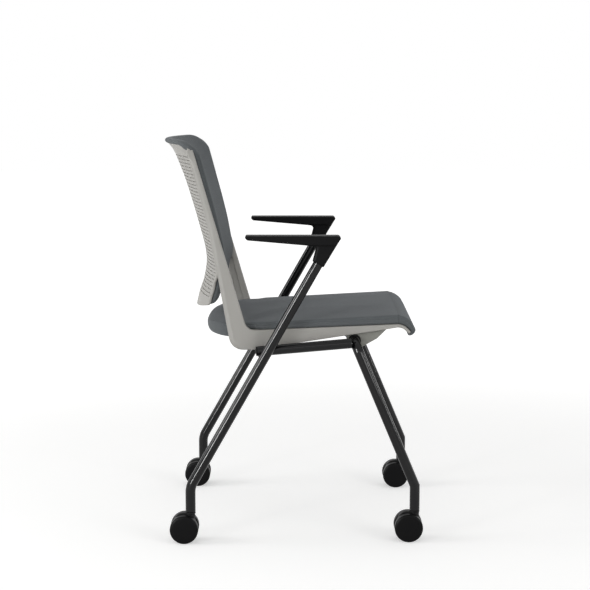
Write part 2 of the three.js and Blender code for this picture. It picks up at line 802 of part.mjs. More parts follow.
function topRowHeights() {
  return cornerShares.map((share) => backTopHeight - share * (backTopHeight - slotFieldTop));
}

// Back shell: one curved sheet with rows of slots
function buildBackShell() {
  const fieldHalf = innerHalfWidth - slotFieldMargin;
  const slotWidth = (2 * fieldHalf - (slotColumns - 1) * slotBridge) / slotColumns;
  const columns = [-innerHalfWidth];
  for (let i = 0; i < slotColumns; i += 1) {
    const left = -fieldHalf + i * (slotWidth + slotBridge);
    columns.push(left, left + slotWidth);
  }
  columns.push(innerHalfWidth);
  const rows = [
    ...cornerShares.map((share) => backBottomHeight + share * tailCornerRadius),
    ...slotRowHeights().flatMap((low) => [low, low + slotHeight]),
    ...topRowHeights().reverse(),
  ];
  const firstSlotRow = cornerShares.length;
  const isSlot = (i, j) => i % 2 === 1 && i < 2 * slotColumns
    && j >= firstSlotRow && j < firstSlotRow + 2 * slotRows && (j - firstSlotRow) % 2 === 0;
  const halfWidthAt = (z) => Math.min(tailHalfWidth(z), cornerHalfWidth(z));
  const point = (i, j, layer) => {
    const z = rows[j];
    const x = (columns[i] / innerHalfWidth) * halfWidthAt(z);
    const height = z + tailRise(x, z);
    return [x, backRear(x, height) - layer * backSheet, height];
  };
  const sheet = piercedSheet(columns.length, rows.length, point, isSlot);
  place('back_shell', toGeometry(toSolid(sheet)), greyShell);
}

// A sheet of two layers on a grid; the open cells get walls in place of faces
function piercedSheet(columnCount, rowCount, point, isOpen) {
  const positions = [];
  const id = (i, j, layer) => (layer * rowCount + j) * columnCount + i;
  for (let layer = 0; layer < 2; layer += 1) {
    for (let j = 0; j < rowCount; j += 1) {
      for (let i = 0; i < columnCount; i += 1) positions.push(...point(i, j, layer));
    }
  }
  const index = [];
  const quad = (a, b, c, d) => index.push(a, b, c, a, c, d);
  const solidCell = (i, j) => (
    i >= 0 && j >= 0 && i < columnCount - 1 && j < rowCount - 1 && !isOpen(i, j));
  for (let j = 0; j < rowCount - 1; j += 1) {
    for (let i = 0; i < columnCount - 1; i += 1) {
      if (!solidCell(i, j)) continue;
      quad(id(i, j, 0), id(i, j + 1, 0), id(i + 1, j + 1, 0), id(i + 1, j, 0));
      quad(id(i, j, 1), id(i + 1, j, 1), id(i + 1, j + 1, 1), id(i, j + 1, 1));
      const wall = (a, b) => quad(id(...a, 0), id(...b, 0), id(...b, 1), id(...a, 1));
      if (!solidCell(i, j - 1)) wall([i, j], [i + 1, j]);
      if (!solidCell(i + 1, j)) wall([i + 1, j], [i + 1, j + 1]);
      if (!solidCell(i, j + 1)) wall([i + 1, j + 1], [i, j + 1]);
      if (!solidCell(i - 1, j)) wall([i, j + 1], [i, j]);
    }
  }
  const geometry = new THREE.BufferGeometry();
  geometry.setAttribute('position', new THREE.Float32BufferAttribute(positions, 3));
  geometry.setIndex(index);
  return geometry;
}

// Seat pan: a sheet on the same line as the rails, with flanges and ribs below
function panUnder(y) {
  return railTop(y) - panThickness;
}

function panScrewPlaces() {
  return panScrewReaches.map((y) => [y, panUnder(y) - panFlangeDepth / 2]);
}

function buildSeatPan() {
  const under = besideLine(noseLine, -panThickness).reverse();
  const half = innerHalfWidth - seatGap;
  const sheet = prismAlongX(roundedOutline([...noseLine, ...under]), -half, half);
  const strip = (front, rear, depth) => [
    [rear, panUnder(rear) + panThickness / 2], [front, panUnder(front) + panThickness / 2],
    [front, panUnder(front) - depth], [rear, panUnder(rear) - depth],
  ].map(([y, z]) => new THREE.Vector2(y, z));
  const ribs = [-2, -1, 0, 1, 2].map((i) => prismAlongX(
    strip(-railToeReach, panRearReach - panRibDepth, panRibDepth),
    i * panRibPitch - panRibWidth / 2, i * panRibPitch + panRibWidth / 2));
  const flanges = sides.map(([, s]) => {
    const [low, high] = [s * half, s * (half - panRibWidth)].sort((a, b) => a - b);
    return prismAlongX(strip(-bracketFrontReach / 2, panFlangeRearReach, panFlangeDepth), low, high);
  });
  const holes = sides.flatMap(([, s]) => panScrewPlaces().map(([y, z]) => roundBar(
    vec(s * (half - panRibWidth - cutOverrun), y, z), vec(s * (half + cutOverrun), y, z),
    screwDiameter / 2, pinSides)));
  place('seat_pan', cutBy(joined(sheet, ...ribs, ...flanges), ...holes), darkGreyShell);
}

// A screw along +Z, its head's underside at zero and its shank below
function screw(length) {
  const shank = screwDiameter / 2 - seatGap;
  const head = screwHeadDiameter / 2;
  return turned([
    [0, -length], [shank, -length], [shank, 0], [head, 0],
    [head, screwHeadHeight / 2], [head / 2, screwHeadHeight], [0, screwHeadHeight],
  ], pinSides);
}

function buildPanScrews() {
  for (const [side, s] of sides) {
    panScrewPlaces().forEach(([y, z], i) => {
      const mesh = place(`pan_screw_${side}_${['front', 'rear'][i]}`, screw(panScrewLength), brightSteel);
      mesh.position.set(s * (innerHalfWidth - 2 * seatGap - panRibWidth), y, z);
      mesh.rotation.y = (-s * Math.PI) / 2;
    });
  }
}

// Pivot: a saddle bracket and a clamp on a split bush, round the front cross tube
function buildPivots() {
  const bushRadius = tubeRadius + seatGap + bushWall;
  const holdRadius = bushRadius + seatGap;
  const along = Math.SQRT1_2;
  // a runs up and back along the split face, b down and back away from the bracket
  const local = (a, b) => [pivotY + (a + b) * along, pivotHeight + (a - b) * along];
  const ear = holdRadius + bracketHoldWall + screwDiameter / 2;
  const screwPlace = holdRadius + screwDiameter / 2 + seatGap + clampScrewWall;
  const crest = holdRadius + clampWall;
  const halfSplit = seatGap / 2;
  const bracketOutline = roundedOutline([
    [...local(ear, -halfSplit)],
    [local(ear, 0)[0], panUnder(local(ear, 0)[0]) - seatGap],
    [-bracketFrontReach, panUnder(-bracketFrontReach) - seatGap],
    [-bracketFrontReach, bracketChinHeight + bracketFrontReach - bracketChinReach],
    [-bracketChinReach, bracketChinHeight, clampEar / 2],
    [...local(-ear, -halfSplit)],
  ]);
  const clampOutline = roundedOutline([
    [...local(-ear, halfSplit)],
    [...local(-ear, clampEar / 2)],
    [...local(clampNeck - holdRadius, clampEar / 2)],
    [...local(clampShoulder - holdRadius, crest), clampEar / 2],
    [...local(holdRadius - clampShoulder, crest), clampEar / 2],
    [...local(holdRadius - clampNeck, clampEar / 2)],
    [...local(ear, clampEar / 2)],
    [...local(ear, halfSplit)],
  ]);
  const bushSection = [];
  const bushRuns = [
    [bushRadius, bushSlitAngle, 2 * Math.PI - bushSlitAngle],
    [tubeRadius + seatGap, 2 * Math.PI - bushSlitAngle, bushSlitAngle],
  ];
  for (const [radius, from, to] of bushRuns) {
    for (let i = 0; i <= tubeSides; i += 1) {
      const angle = from + ((to - from) * i) / tubeSides;
      bushSection.push(new THREE.Vector2(
        pivotY + radius * Math.cos(angle), pivotHeight + radius * Math.sin(angle)));
    }
  }
  for (const [side, s] of sides) {
    const middle = s * (innerHalfWidth - bracketInset / 2);
    const [low, high] = [middle - bracketWidth / 2, middle + bracketWidth / 2];
    const bore = roundBar(vec(low - cutOverrun, pivotY, pivotHeight),
      vec(high + cutOverrun, pivotY, pivotHeight), holdRadius);
    const screwHoles = [-1, 1].map((end) => {
      const [topY, topZ] = local(end * screwPlace, clampEar);
      const [lowY, lowZ] = local(end * screwPlace, clampEar / 2 - screwLength - seatGap);
      return roundBar(vec(middle, topY, topZ), vec(middle, lowY, lowZ), screwDiameter / 2, pinSides);
    });
    place(`pivot_bracket_${side}`,
      cutBy(prismAlongX(bracketOutline, low, high, bracketBevel), bore, ...screwHoles), darkGreyShell);
    place(`pivot_clamp_${side}`,
      cutBy(prismAlongX(clampOutline, low, high), bore, ...screwHoles), darkGreyShell);
    place(`pivot_bush_${side}`,
      prismAlongX(bushSection, middle - bushLength / 2, middle + bushLength / 2), blackNylon);
    for (const [which, end] of [['lower', -1], ['upper', 1]]) {
      const mesh = place(`clamp_screw_${side}_${which}`, screw(screwLength), brightSteel);
      const [y, z] = local(end * screwPlace, clampEar / 2 + seatGap);
      mesh.position.set(middle, y, z);
      mesh.rotation.x = (-3 * Math.PI) / 4;
    }
  }
}

// Cushions: rounded sections with a bead and a groove round the side, lofted along a run
const beadInsetShares = [1.2, 0, 0.5, 1.05, 0.8, 2];
const beadHeightShares = [0, 0.25, 0.52, 0.655, 0.74, 0.92];
const roundInsetShares = [1, 0.4, 0.1, 0, 0.15, 0.55];
const roundHeightShares = [0, 0.12, 0.3, 0.5, 0.7, 0.88];
const topWidthShares = [-0.97, -0.7, -0.36, 0, 0.36, 0.7, 0.97];

function cushionSection({ halfWidth, edge, crown, roundness = 0 }, underXs) {
  const groove = Math.min(edge / padShoulder, 1) * grooveDepth;
  const right = beadInsetShares.map((bead, i) => [
    halfWidth - THREE.MathUtils.lerp(bead * groove, roundInsetShares[i] * padShoulder, roundness),
    THREE.MathUtils.lerp(beadHeightShares[i], roundHeightShares[i], roundness) * edge,
  ]);
  const flat = halfWidth - padShoulder;
  const top = topWidthShares.map((share) => [-share * flat, edge + crown * (1 - share * share)]);
  const left = right.map(([x, h]) => [-x, h]).reverse();
  const under = underXs(halfWidth);
  const underLeft = under.map((x) => [-x, 0]).reverse();
  return [...right, ...top, ...left, ...underLeft, [0, 0], ...under.map((x) => [x, 0])];
}

// An end of a cushion: a fan at each side, and a strip between its top and its underside
function capTriangles(flat) {
  const sideCount = beadInsetShares.length;
  const topLast = sideCount + topWidthShares.length - 1;
  const underFirst = topLast + sideCount + 1;
  const triangles = [[sideCount, flat.length - 1, 0], [topLast, underFirst - 1, underFirst]];
  for (let i = 0; i < sideCount - 1; i += 1) {
    triangles.push([sideCount, i, i + 1], [topLast, topLast + i + 1, topLast + i + 2]);
  }
  let [top, under] = [sideCount, flat.length - 1];
  while (top < topLast || under > underFirst) {
    const alongTop = under === underFirst || (top < topLast && flat[top + 1][0] > flat[under - 1][0]);
    triangles.push(alongTop ? [under, top, top + 1] : [under - 1, under, top]);
    if (alongTop) top += 1;
    else under -= 1;
  }
  return triangles;
}

function cushion(stations, underXs, placeAt) {
  const flatSections = stations.map((station) => cushionSection(station, underXs));
  const sections = flatSections.map((flat, j) => flat.map(([x, h]) => placeAt(stations[j], x, h)));
  const count = sections[0].length;
  const positions = sections.flat(2);
  const index = [];
  for (let j = 0; j < sections.length - 1; j += 1) {
    for (let i = 0; i < count; i += 1) {
      const [a, b] = [j * count + i, j * count + ((i + 1) % count)];
      index.push(a, b, b + count, a, b + count, a + count);
    }
  }
  const end = (sections.length - 1) * count;
  for (const [a, b, c] of capTriangles(flatSections[0])) index.push(c, b, a);
  for (const [a, b, c] of capTriangles(flatSections.at(-1))) index.push(end + a, end + b, end + c);
  const geometry = new THREE.BufferGeometry();
  geometry.setAttribute('position', new THREE.Float32BufferAttribute(positions, 3));
  geometry.setIndex(index);
  return geometry;
}

const padSpanShares = [0, 0.12, 0.28, 0.45, 0.62, 0.8, 0.93, 1];
const rollPastShares = [0.985, 0.93, 0.82, 0.66, 0.46, 0.2];
const rollTipShare = 0.8;
// Each row: place along the lip's end, turn past the slope, and thickness
const hookShares = [[0, 0, 1], [0, 0.25, 0.95], [0.5, 0.5, 0.75], [0.9, 0.68, 0.55], [1, 0.95, 0.25]];

// Seat cushion: from the round rear roll, over the pan, round the nose and under the lip
function buildSeatPad() {
  const stations = [];
  const add = (y, z, angle, edge, halfWidth, crown = seatPadCrown, roundness = 0) => {
    stations.push({ y, z, angle, edge, halfWidth, crown, roundness });
  };
  for (const share of rollPastShares) {
    const y = THREE.MathUtils.lerp(panRearReach, seatPadRearReach, share);
    const halfWidth = seatPadNeckHalfWidth * Math.sqrt(1 - share * share);
    const tip = Math.max(0, share - rollTipShare) / (1 - rollTipShare);
    const rise = seatRollRadius * (1 - Math.sqrt(1 - tip * tip));
    const full = (seatRollTopHeight - seatRollBottomHeight) * (1 - 0.25 * share * share);
    add(y, seatRollBottomHeight + rise, 0, full - 2 * rise, halfWidth, seatPadCrown * (1 - share), 1);
  }
  const stepY = panRearReach + runningGap;
  const stepTop = railTop(stepY) + seatGap + seatPadEdge;
  add(stepY + panThickness, seatRollBottomHeight + panThickness / 2, 0,
    stepTop - seatRollBottomHeight - panThickness / 2, seatPadNeckHalfWidth, seatPadCrown, 0.8);
  add(stepY + runningGap, railTop(panRearReach) - panThickness, 0,
    seatPadEdge + panThickness + seatGap, seatPadNeckHalfWidth, seatPadCrown, 0.4);
  add(stepY, railTop(stepY) + seatGap, 0, seatPadEdge, seatPadNeckHalfWidth);
  add(padStepReach + runningGap, railTop(padStepReach) + seatGap, 0, seatPadEdge, seatPadNeckHalfWidth);
  const flatFront = -railFrontReach + noseBendRadius / 2;
  for (const share of padSpanShares) {
    const y = THREE.MathUtils.lerp(padStepReach - runningGap, flatFront, share);
    const edge = THREE.MathUtils.lerp(seatPadEdge, seatPadFrontEdge, share);
    add(y, railTop(y) + seatGap, 0, edge, seatPadHalfWidth, seatPadCrown * (1 - share ** 6));
  }
  const slope = Math.atan2(railFrontHeight - noseHeight, noseReach - railFrontReach);
  const bend = roundedOutline(noseLine, 0.3).slice(2, -1);
  bend.forEach((point, i) => {
    const share = (i + 1) / bend.length;
    const turn = slope * share;
    const edge = THREE.MathUtils.lerp(seatPadFrontEdge, seatPadNose, 0.5 * share);
    add(point.x - seatGap * Math.sin(turn), point.y + seatGap * Math.cos(turn), turn,
      edge, seatPadHalfWidth - noseTaper * share, 0);
  });
  const [, , lipEnd] = besideLine(noseLine, -lipThickness);
  const tip = { y: -noseReach, z: noseHeight };
  const lip = { y: lipEnd[0], z: lipEnd[1] };
  for (const [along, turnShare, edgeShare] of hookShares) {
    const angle = slope + Math.PI * turnShare;
    const y = THREE.MathUtils.lerp(tip.y, lip.y, along);
    const z = THREE.MathUtils.lerp(tip.z, lip.z, along);
    add(y - seatGap * Math.sin(angle), z + seatGap * Math.cos(angle), angle,
      seatPadNose * edgeShare, seatPadHalfWidth - noseTaper * (1 + turnShare), 0);
  }
  const geometry = cushion(stations, (halfWidth) => [halfWidth / 2], (station, x, h) => [
    x, station.y - h * Math.sin(station.angle), station.z + h * Math.cos(station.angle)]);
  place('seat_pad', toGeometry(toSolid(geometry)), greyFabric);
}

const padFootShares = [0, 0.3, 0.7, 1];
// Each row: drop below the top, turn, how full between the roll and the cushion, and setback
const wrapShares = [
  [0.7, 0, 1, 0], [0.38, 0.006, 0.9, 0], [0.17, 0.025, 0.65, 0], [0, 0.11, 0.2, 0],
  [0, 0.35, 0.04, 0.1], [0, 0.5, 0, 0.5], [0, 0.62, -0.1, 1], [0, 0.76, -0.2, 1.2],
];

// Back cushion: up the hollow front of the back shell and over its top edge
function buildBackPad() {
  const stations = [];
  const add = (z, angle, edge, halfWidth, crown, setback = 0) => {
    stations.push({ z, angle, edge, halfWidth, crown, setback });
  };
  const halfAt = (z) => Math.min(tailHalfWidth(z - backPadBottomGap), backPadHalfWidth);
  for (const share of padFootShares) {
    const z = backPadBottomHeight + share * tailCornerRadius;
    const fullness = Math.sin(Math.acos(0.85 * (1 - share)));
    add(z, 0, backPadEdge * fullness, halfAt(z), backPadCrown * Math.max(share, padFootShares[1]));
  }
  const low = backPadBottomHeight + tailCornerRadius;
  const high = backTopHeight - cornerRadius;
  for (const z of slotRowHeights().filter((height) => height > low && height < high)) {
    const swell = THREE.MathUtils.smoothstep(z, backTailHeight, backPadSwellHeight);
    add(z, 0, THREE.MathUtils.lerp(backPadEdge, backPadTopEdge, swell), halfAt(z), backPadCrown);
  }
  const top = backTopHeight + padClearance;
  const roll = backPadRollHeight - top;
  wrapShares.forEach(([drop, turn, full, back], i) => {
    const edge = THREE.MathUtils.lerp(roll, backPadTopEdge, full);
    const crown = backPadCrown * full;
    const halfWidth = backPadHalfWidth - i * backPadTaper;
    add(top - drop * cornerRadius, Math.PI * turn, edge, halfWidth, crown, back * backSheet);
  });
  const topWeight = (z) => THREE.MathUtils.smoothstep(z, backTopHeight - 2 * cornerRadius, backTopHeight);
  const edgeXs = topRowHeights().map(cornerHalfWidth);
  const underXs = (halfWidth) => [
    0.3 * halfWidth, 0.6 * halfWidth,
    ...edgeXs.map((x, i) => Math.min(x, halfWidth - grooveDepth - (edgeXs.length - i) * backPadTaper)),
  ];
  const geometry = cushion(stations, underXs, (station, x, h) => {
    const z = station.z + tailRise(x, station.z) - cornerDrop(x) * topWeight(station.z);
    const base = backRear(x, z) - backSheet - padClearance + station.setback;
    return [-x, base - h * Math.cos(station.angle), z + h * Math.sin(station.angle)];
  });
  place('back_pad', toGeometry(toSolid(geometry)), greyFabric);
}

buildLegFrame();
buildSideTubePlugs();
buildSeatBuffers();
buildArmPads();
for (const [side, s] of sides) {
  buildCaster(`front_caster_${side}`, s * frontHalfTrack, frontLegY);
  buildCaster(`rear_caster_${side}`, s * rearHalfTrack, rearLegReach);
}
buildSideArms();
buildBackShell();
buildSeatPan();
buildPanScrews();
buildPivots();
buildSeatPad();
buildBackPad();

export default chair;
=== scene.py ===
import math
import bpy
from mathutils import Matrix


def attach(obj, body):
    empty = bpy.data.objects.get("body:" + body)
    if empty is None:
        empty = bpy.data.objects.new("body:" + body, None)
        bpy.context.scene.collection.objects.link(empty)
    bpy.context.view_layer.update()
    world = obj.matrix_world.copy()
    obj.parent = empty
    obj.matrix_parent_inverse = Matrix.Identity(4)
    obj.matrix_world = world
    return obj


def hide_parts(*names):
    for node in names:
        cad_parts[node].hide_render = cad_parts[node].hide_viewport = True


bl_info = {
    "name": "Nesting Chair",
    "version": (1, 0, 0),
    "blender": (4, 5, 0),
    "location": "View3D > Sidebar > Chair",
    "description": "Dresses a nesting chair's leg frame, casters, tip-up shell and cushions",
    "category": "Add Mesh",
}

import bmesh
import bpy
from mathutils import Matrix, Vector

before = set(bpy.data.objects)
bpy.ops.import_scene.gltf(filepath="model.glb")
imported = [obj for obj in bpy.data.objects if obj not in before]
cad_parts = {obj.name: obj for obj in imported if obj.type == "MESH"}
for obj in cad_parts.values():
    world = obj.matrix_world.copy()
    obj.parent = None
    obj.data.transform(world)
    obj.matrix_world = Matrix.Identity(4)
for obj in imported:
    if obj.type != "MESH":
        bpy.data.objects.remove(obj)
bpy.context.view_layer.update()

# The chair faces -Y, and the sitter's right hand is at -X. Metres, +Z up.
MM = 0.001
SIDES = (("right", -1), ("left", 1))


def mm(*rows):
    """Rows of millimetres turned to metres."""
    return [tuple(value * MM for value in row) for row in rows]


# Corner radii that the mouldings' outlines share
CRISP = 1 * MM
SOFT = 2 * MM
ROUND = 3 * MM
FULL = 6 * MM
# How far a part runs on into the one that it is joined to or cuts
OVERRUN = 2 * MM

# Leg frame
TUBE_RADIUS = 11 * MM
LEG_END = 66 * MM
FRONT_LEG = (249 * MM, -270 * MM)
REAR_LEG = (263 * MM, 220 * MM)
FRONT_BEND = 121 * MM
REAR_BEND = 122 * MM
REAR_TOP = (253 * MM, -80.6 * MM, 650 * MM)
PIVOT = (-138.5 * MM, 434.5 * MM)
SIDE_TUBE_END = (74.5 * MM, 416 * MM)
CROSS_TUBE = (63.7 * MM, 411 * MM)
BEND_RADII = (28 * MM, 46 * MM)

# Armrests
ARM_TOP = 671 * MM
ARM_FRONT = -107 * MM
ARM_REAR = 102.5 * MM
ARM_ROOT = -40 * MM
ARM_WIDTH = 42 * MM
ARM_TIP = 9.5 * MM
ARM_DEPTH = 21 * MM
ARM_EDGE = 3.2 * MM
ARM_SLANT = 8 * MM
ARM_TIP_BEND = 5.5 * MM
ARM_BEND = 30 * MM
ARM_SLOPE = 5 * MM
NECK_HEIGHT = 609 * MM
NECK_RADIUS = 13.5 * MM
NECK_SPREAD = 11 * MM
NECK_EDGE = 6.5 * MM
NECK_DROP = 2.2 * MM
NECK_TAIL = 16 * MM
NECK_SUNK = 4 * MM
NECK_BLEND = 1 * MM
NECK_BEND = 9 * MM

# Casters
WHEEL_RADIUS = 31 * MM
WHEEL_WIDTH = 20 * MM
CASTER_WIDTH = 56 * MM
CASTER_TRAIL = 13.5 * MM
HOOD_WIDTH = 13 * MM
HOOD_RADIUS = 26 * MM
CREST_RADIUS = 34 * MM
CREST_SINK = 5.5 * MM
CREST_ARC = (28, 152)
HOOD_ARC = (168, 372)
HOOD_EDGE = 1.6 * MM
SOCKET_FOOT = 62.7 * MM

# Shell
SHELL_HALF = 220 * MM
INNER_HALF = 206 * MM
RAIL_REAR = (97 * MM, 459.2 * MM)
RAIL_FRONT = (-243 * MM, 473.5 * MM)
NOSE = (-261 * MM, 456 * MM)
NOSE_BEND = 30 * MM
HEEL = (131.5 * MM, 416.5 * MM)
KNEE = 85 * MM
ELBOW_BEND = 22 * MM
HEEL_BEND = 32 * MM
TOE = (-215 * MM, 463 * MM)
LEAN = 0.295
TAPER_HEIGHT = 690 * MM
UPRIGHT_TOP = 853 * MM
TAPER_WIDTH = 15 * MM
TOP_WIDTH = 13.6 * MM
LIP = 6 * MM
LIP_EDGE = 1.5 * MM
LIP_BEND = 26 * MM
CREST_BENDS = (3 * MM, 2.5 * MM)
CHAMFER = 9.8 * MM
CORNER = 46 * MM
PAN_REAR = 118 * MM
PAN_THICKNESS = 4 * MM
PAN_EDGE = 0.8 * MM
RIB_PITCH = 62 * MM
RIB_DEPTH = 9 * MM
RIB_INSET = 9 * MM
RIB_THICKNESS = 3 * MM
RIB_EDGE = 0.6 * MM
FLANGE_DEPTH = 14 * MM
FLANGE_SPAN = (-104 * MM, 70 * MM)
PAN_SCREWS = (("front", -70 * MM), ("rear", 20 * MM))

# Pivot brackets. BRACKET_IN is how far their middle lies in from the rails' inner faces.
BRACKET_IN = 21 * MM
BRACKET_HALF = 16 * MM
BRACKET_WALL = 2.6 * MM
BRACKET_EAR = 7.5 * MM
BRACKET_TIP = (-208 * MM, 459 * MM)
BRACKET_CHIN = (-188 * MM, 439 * MM)
BRACKET_EDGE = 1.2 * MM
CLAMP_FLANGE = 6 * MM
CLAMP_WALL = 4 * MM
CLAMP_DRAFT = (1 * MM, 3 * MM)
CLAMP_EDGE = 0.8 * MM
BUSH_HALF = 18 * MM
BOLT_OUT = 3.8 * MM

# Back
BACK_BOTTOM = 494 * MM
BACK_TOP = 865 * MM
WAIST_REACH = (194 * MM, 161 * MM)
TOP_REACH = (284 * MM, 227 * MM)
TAIL_RISE = 18 * MM
TAIL_HALF = 190 * MM
TAIL_HEIGHT = 568 * MM
TAIL_BLEND = 22 * MM
TAIL_CORNER = 14 * MM
SHEET = 5 * MM
SHEET_EDGE = 0.9 * MM
SHEET_RIM = 2 * MM
SLOT_FIELD = (528 * MM, 842 * MM)
SLOT_MARGIN = 8 * MM
# How far back the rear face stands, from waist to top: shares of that reach at shares of the height
HEIGHT_SHARES = (0, 0.08, 0.16, 0.27, 0.36, 0.48, 0.62, 0.76, 0.88, 0.95, 1)
MIDDLE_SHARES = (0.26, 0.18, 0.07, 0, 0.035, 0.165, 0.33, 0.51, 0.695, 0.83, 1)
SIDE_SHARES = (0.26, 0.19, 0.07, 0.03, 0.12, 0.24, 0.425, 0.635, 0.81, 0.915, 1)

# Cushions. Low, high, swell and foot are heights over the floor.
SEAT_GAP = 0.3 * MM
PAD_CLEARANCE = 1 * MM
SEAT_PAD = {"half": 216 * MM, "neck": 203 * MM, "edge": 15.5 * MM, "front": 19.5 * MM, "nose": 12 * MM,
            "crown": 4 * MM, "taper": 6 * MM, "step": 77 * MM, "spread": 2 * MM, "bend": 7 * MM}
STEP_GAP = 0.5 * MM
SEAT_ROWS = 56
SEAT_ROLL = {"rear": 193 * MM, "low": 441 * MM, "high": 473 * MM, "radius": 11 * MM, "lift": 2 * MM,
             "lap": 4 * MM}
BACK_PAD = {"half": 203 * MM, "low": 499 * MM, "edge": 16 * MM, "top": 20.5 * MM, "swell": 610 * MM,
            "crown": 6 * MM, "foot": 535 * MM, "sole": 6 * MM, "fade": (60 * MM, 70 * MM)}
COVER_PRESSURE = 4.0
COVER_SWELL = 5 * MM
COVER_FRAMES = 20
COVER_SMOOTHING = 14

# Studio. The camera was found by fitting the wheels, tubes and outlines of the photograph.
WORLD_LIGHT = 0.45
FLOOR_REACH = 14.0
FLOOR_FADE = (0.7, 3.2)
FLOOR_LIFT = (0.43, 0.74)
CAMERA_PLACE = (-3.884, -0.008, 1.012)
CAMERA_PITCH = 7.376
CAMERA_LENS = 103.7
CAMERA_SENSOR = 36


def linear(code):
    """Turns an sRGB hex colour into the linear colour that Blender mixes with."""
    values = [int(code[i:i + 2], 16) / 255 for i in (0, 2, 4)]
    return tuple(v / 12.92 if v <= 0.04045 else ((v + 0.055) / 1.055) ** 2.4 for v in values)


class ChairSizes(bpy.types.PropertyGroup):
    """Sizes of the details that the dressing adds."""

    slot_pitch: bpy.props.FloatProperty(
        name="Slot pitch", description="Height from one row of slots in the back to the next",
        default=7.6 * MM, unit="LENGTH")
    slot_height: bpy.props.FloatProperty(
        name="Slot height", description="Height of one slot in the back",
        default=2.5 * MM, unit="LENGTH")
    slot_depth: bpy.props.FloatProperty(
        name="Slot depth", description="How deep a slot sinks into the back before its thin web",
        default=2.2 * MM, unit="LENGTH")
    slot_width: bpy.props.FloatProperty(
        name="Slot width", description="Width of one slot and the bridge beside it",
        default=44 * MM, unit="LENGTH")
    slot_bridge: bpy.props.FloatProperty(
        name="Slot bridge", description="Width of the plastic left between two slots in a row",
        default=5 * MM, unit="LENGTH")
    thread_pitch: bpy.props.FloatProperty(
        name="Thread pitch", description="Spacing of the cloth's yarns",
        default=1.4 * MM, unit="LENGTH")
    seam_depth: bpy.props.FloatProperty(
        name="Seam depth", description="How far the seam sinks between a cushion's top and its side band",
        default=2.2 * MM, unit="LENGTH")
    mould_grain: bpy.props.FloatProperty(
        name="Mould grain", description="Grain of the shell's spark-eroded surface",
        default=0.9 * MM, unit="LENGTH")


class ChairColours(bpy.types.PropertyGroup):
    """Colours of the chair's finishes."""

    shell: bpy.props.FloatVectorProperty(
        name="Shell", description="Light grey moulding of the rails, uprights and back",
        subtype="COLOR", size=3, min=0, max=1, default=linear("a3a19c"))
    under: bpy.props.FloatVectorProperty(
        name="Underside", description="Grey of the seat pan and the pivot brackets",
        subtype="COLOR", size=3, min=0, max=1, default=linear("8a8a83"))
    cloth: bpy.props.FloatVectorProperty(
        name="Cloth", description="Upholstery cloth of both cushions",
        subtype="COLOR", size=3, min=0, max=1, default=linear("5b5f61"))
    tube: bpy.props.FloatVectorProperty(
        name="Tube", description="Powder coat of the leg frame",
        subtype="COLOR", size=3, min=0, max=1, default=linear("111112"))
    arm: bpy.props.FloatVectorProperty(
        name="Armrest", description="Black moulding of the armrests",
        subtype="COLOR", size=3, min=0, max=1, default=linear("0d0d0e"))
    wheel: bpy.props.FloatVectorProperty(
        name="Wheel", description="Black plastic of the wheels",
        subtype="COLOR", size=3, min=0, max=1, default=linear("0d0d0e"))
    floor: bpy.props.FloatVectorProperty(
        name="Floor", description="Pale studio floor",
        subtype="COLOR", size=3, min=0, max=1, default=linear("e0e0df"))


# Materials

# Most of a noise pattern's values lie between these two
NOISE_SPAN = (0.3, 0.7)


def add(tree, kind, settings=None, inputs=None):
    """Adds a node, sets its properties, and fills or links its sockets."""
    node = tree.nodes.new(kind)
    for name, value in (settings or {}).items():
        setattr(node, name, value)
    for name, value in (inputs or {}).items():
        if isinstance(value, bpy.types.NodeSocket):
            tree.links.new(value, node.inputs[name])
        else:
            node.inputs[name].default_value = value
    return node


def surface(name, colour, roughness, grains=(), metallic=0.0, settings=None):
    """A material, its shader, the piece's own coordinates, and noise for each (grain, detail)."""
    material = bpy.data.materials.new(name)
    material.use_nodes = True
    material.diffuse_color = (*colour, 1)
    tree = material.node_tree
    tree.nodes.clear()
    place = add(tree, "ShaderNodeTexCoord").outputs["Object"]
    shader = add(tree, "ShaderNodeBsdfPrincipled", inputs={
        "Base Color": (*colour, 1), "Roughness": roughness, "Metallic": metallic, **(settings or {})})
    add(tree, "ShaderNodeOutputMaterial", inputs={"Surface": shader.outputs[0]})
    noise = [add(tree, "ShaderNodeTexNoise", inputs={
        "Vector": place, "Scale": 1 / grain, "Detail": detail}).outputs["Fac"] for grain, detail in grains]
    return material, tree, shader, place, noise


def worked(tree, shader, colour, tone, shades, gloss=None, roughness=(), skin=None, depth=0.0):
    """Works a surface by patterns: tone shades its colour, gloss its roughness, skin is pressed in."""
    ramp = add(tree, "ShaderNodeValToRGB", inputs={"Fac": tone})
    for element, place, share in zip(ramp.color_ramp.elements, NOISE_SPAN, shades):
        element.position = place
        element.color = (*[c * share for c in colour], 1)
    tree.links.new(ramp.outputs["Color"], shader.inputs["Base Color"])
    if gloss is not None:
        varied = add(tree, "ShaderNodeMapRange", inputs={
            "Value": gloss, "From Min": NOISE_SPAN[0], "From Max": NOISE_SPAN[1],
            "To Min": roughness[0], "To Max": roughness[1]})
        tree.links.new(varied.outputs["Result"], shader.inputs["Roughness"])
    if skin is not None:
        bump = add(tree, "ShaderNodeBump", inputs={"Height": skin, "Strength": 1.0, "Distance": depth})
        tree.links.new(bump.outputs["Normal"], shader.inputs["Normal"])


def looked_at(tree):
    """1 for what is seen straight, in a gloss or through glass, and 0 for light on the object."""
    path = add(tree, "ShaderNodeLightPath")
    seen = path.outputs["Is Camera Ray"]
    for ray in ("Is Glossy Ray", "Is Transmission Ray"):
        either = add(tree, "ShaderNodeMath", {"operation": "MAXIMUM"}, {0: seen, 1: path.outputs[ray]})
        seen = either.outputs[0]
    return seen


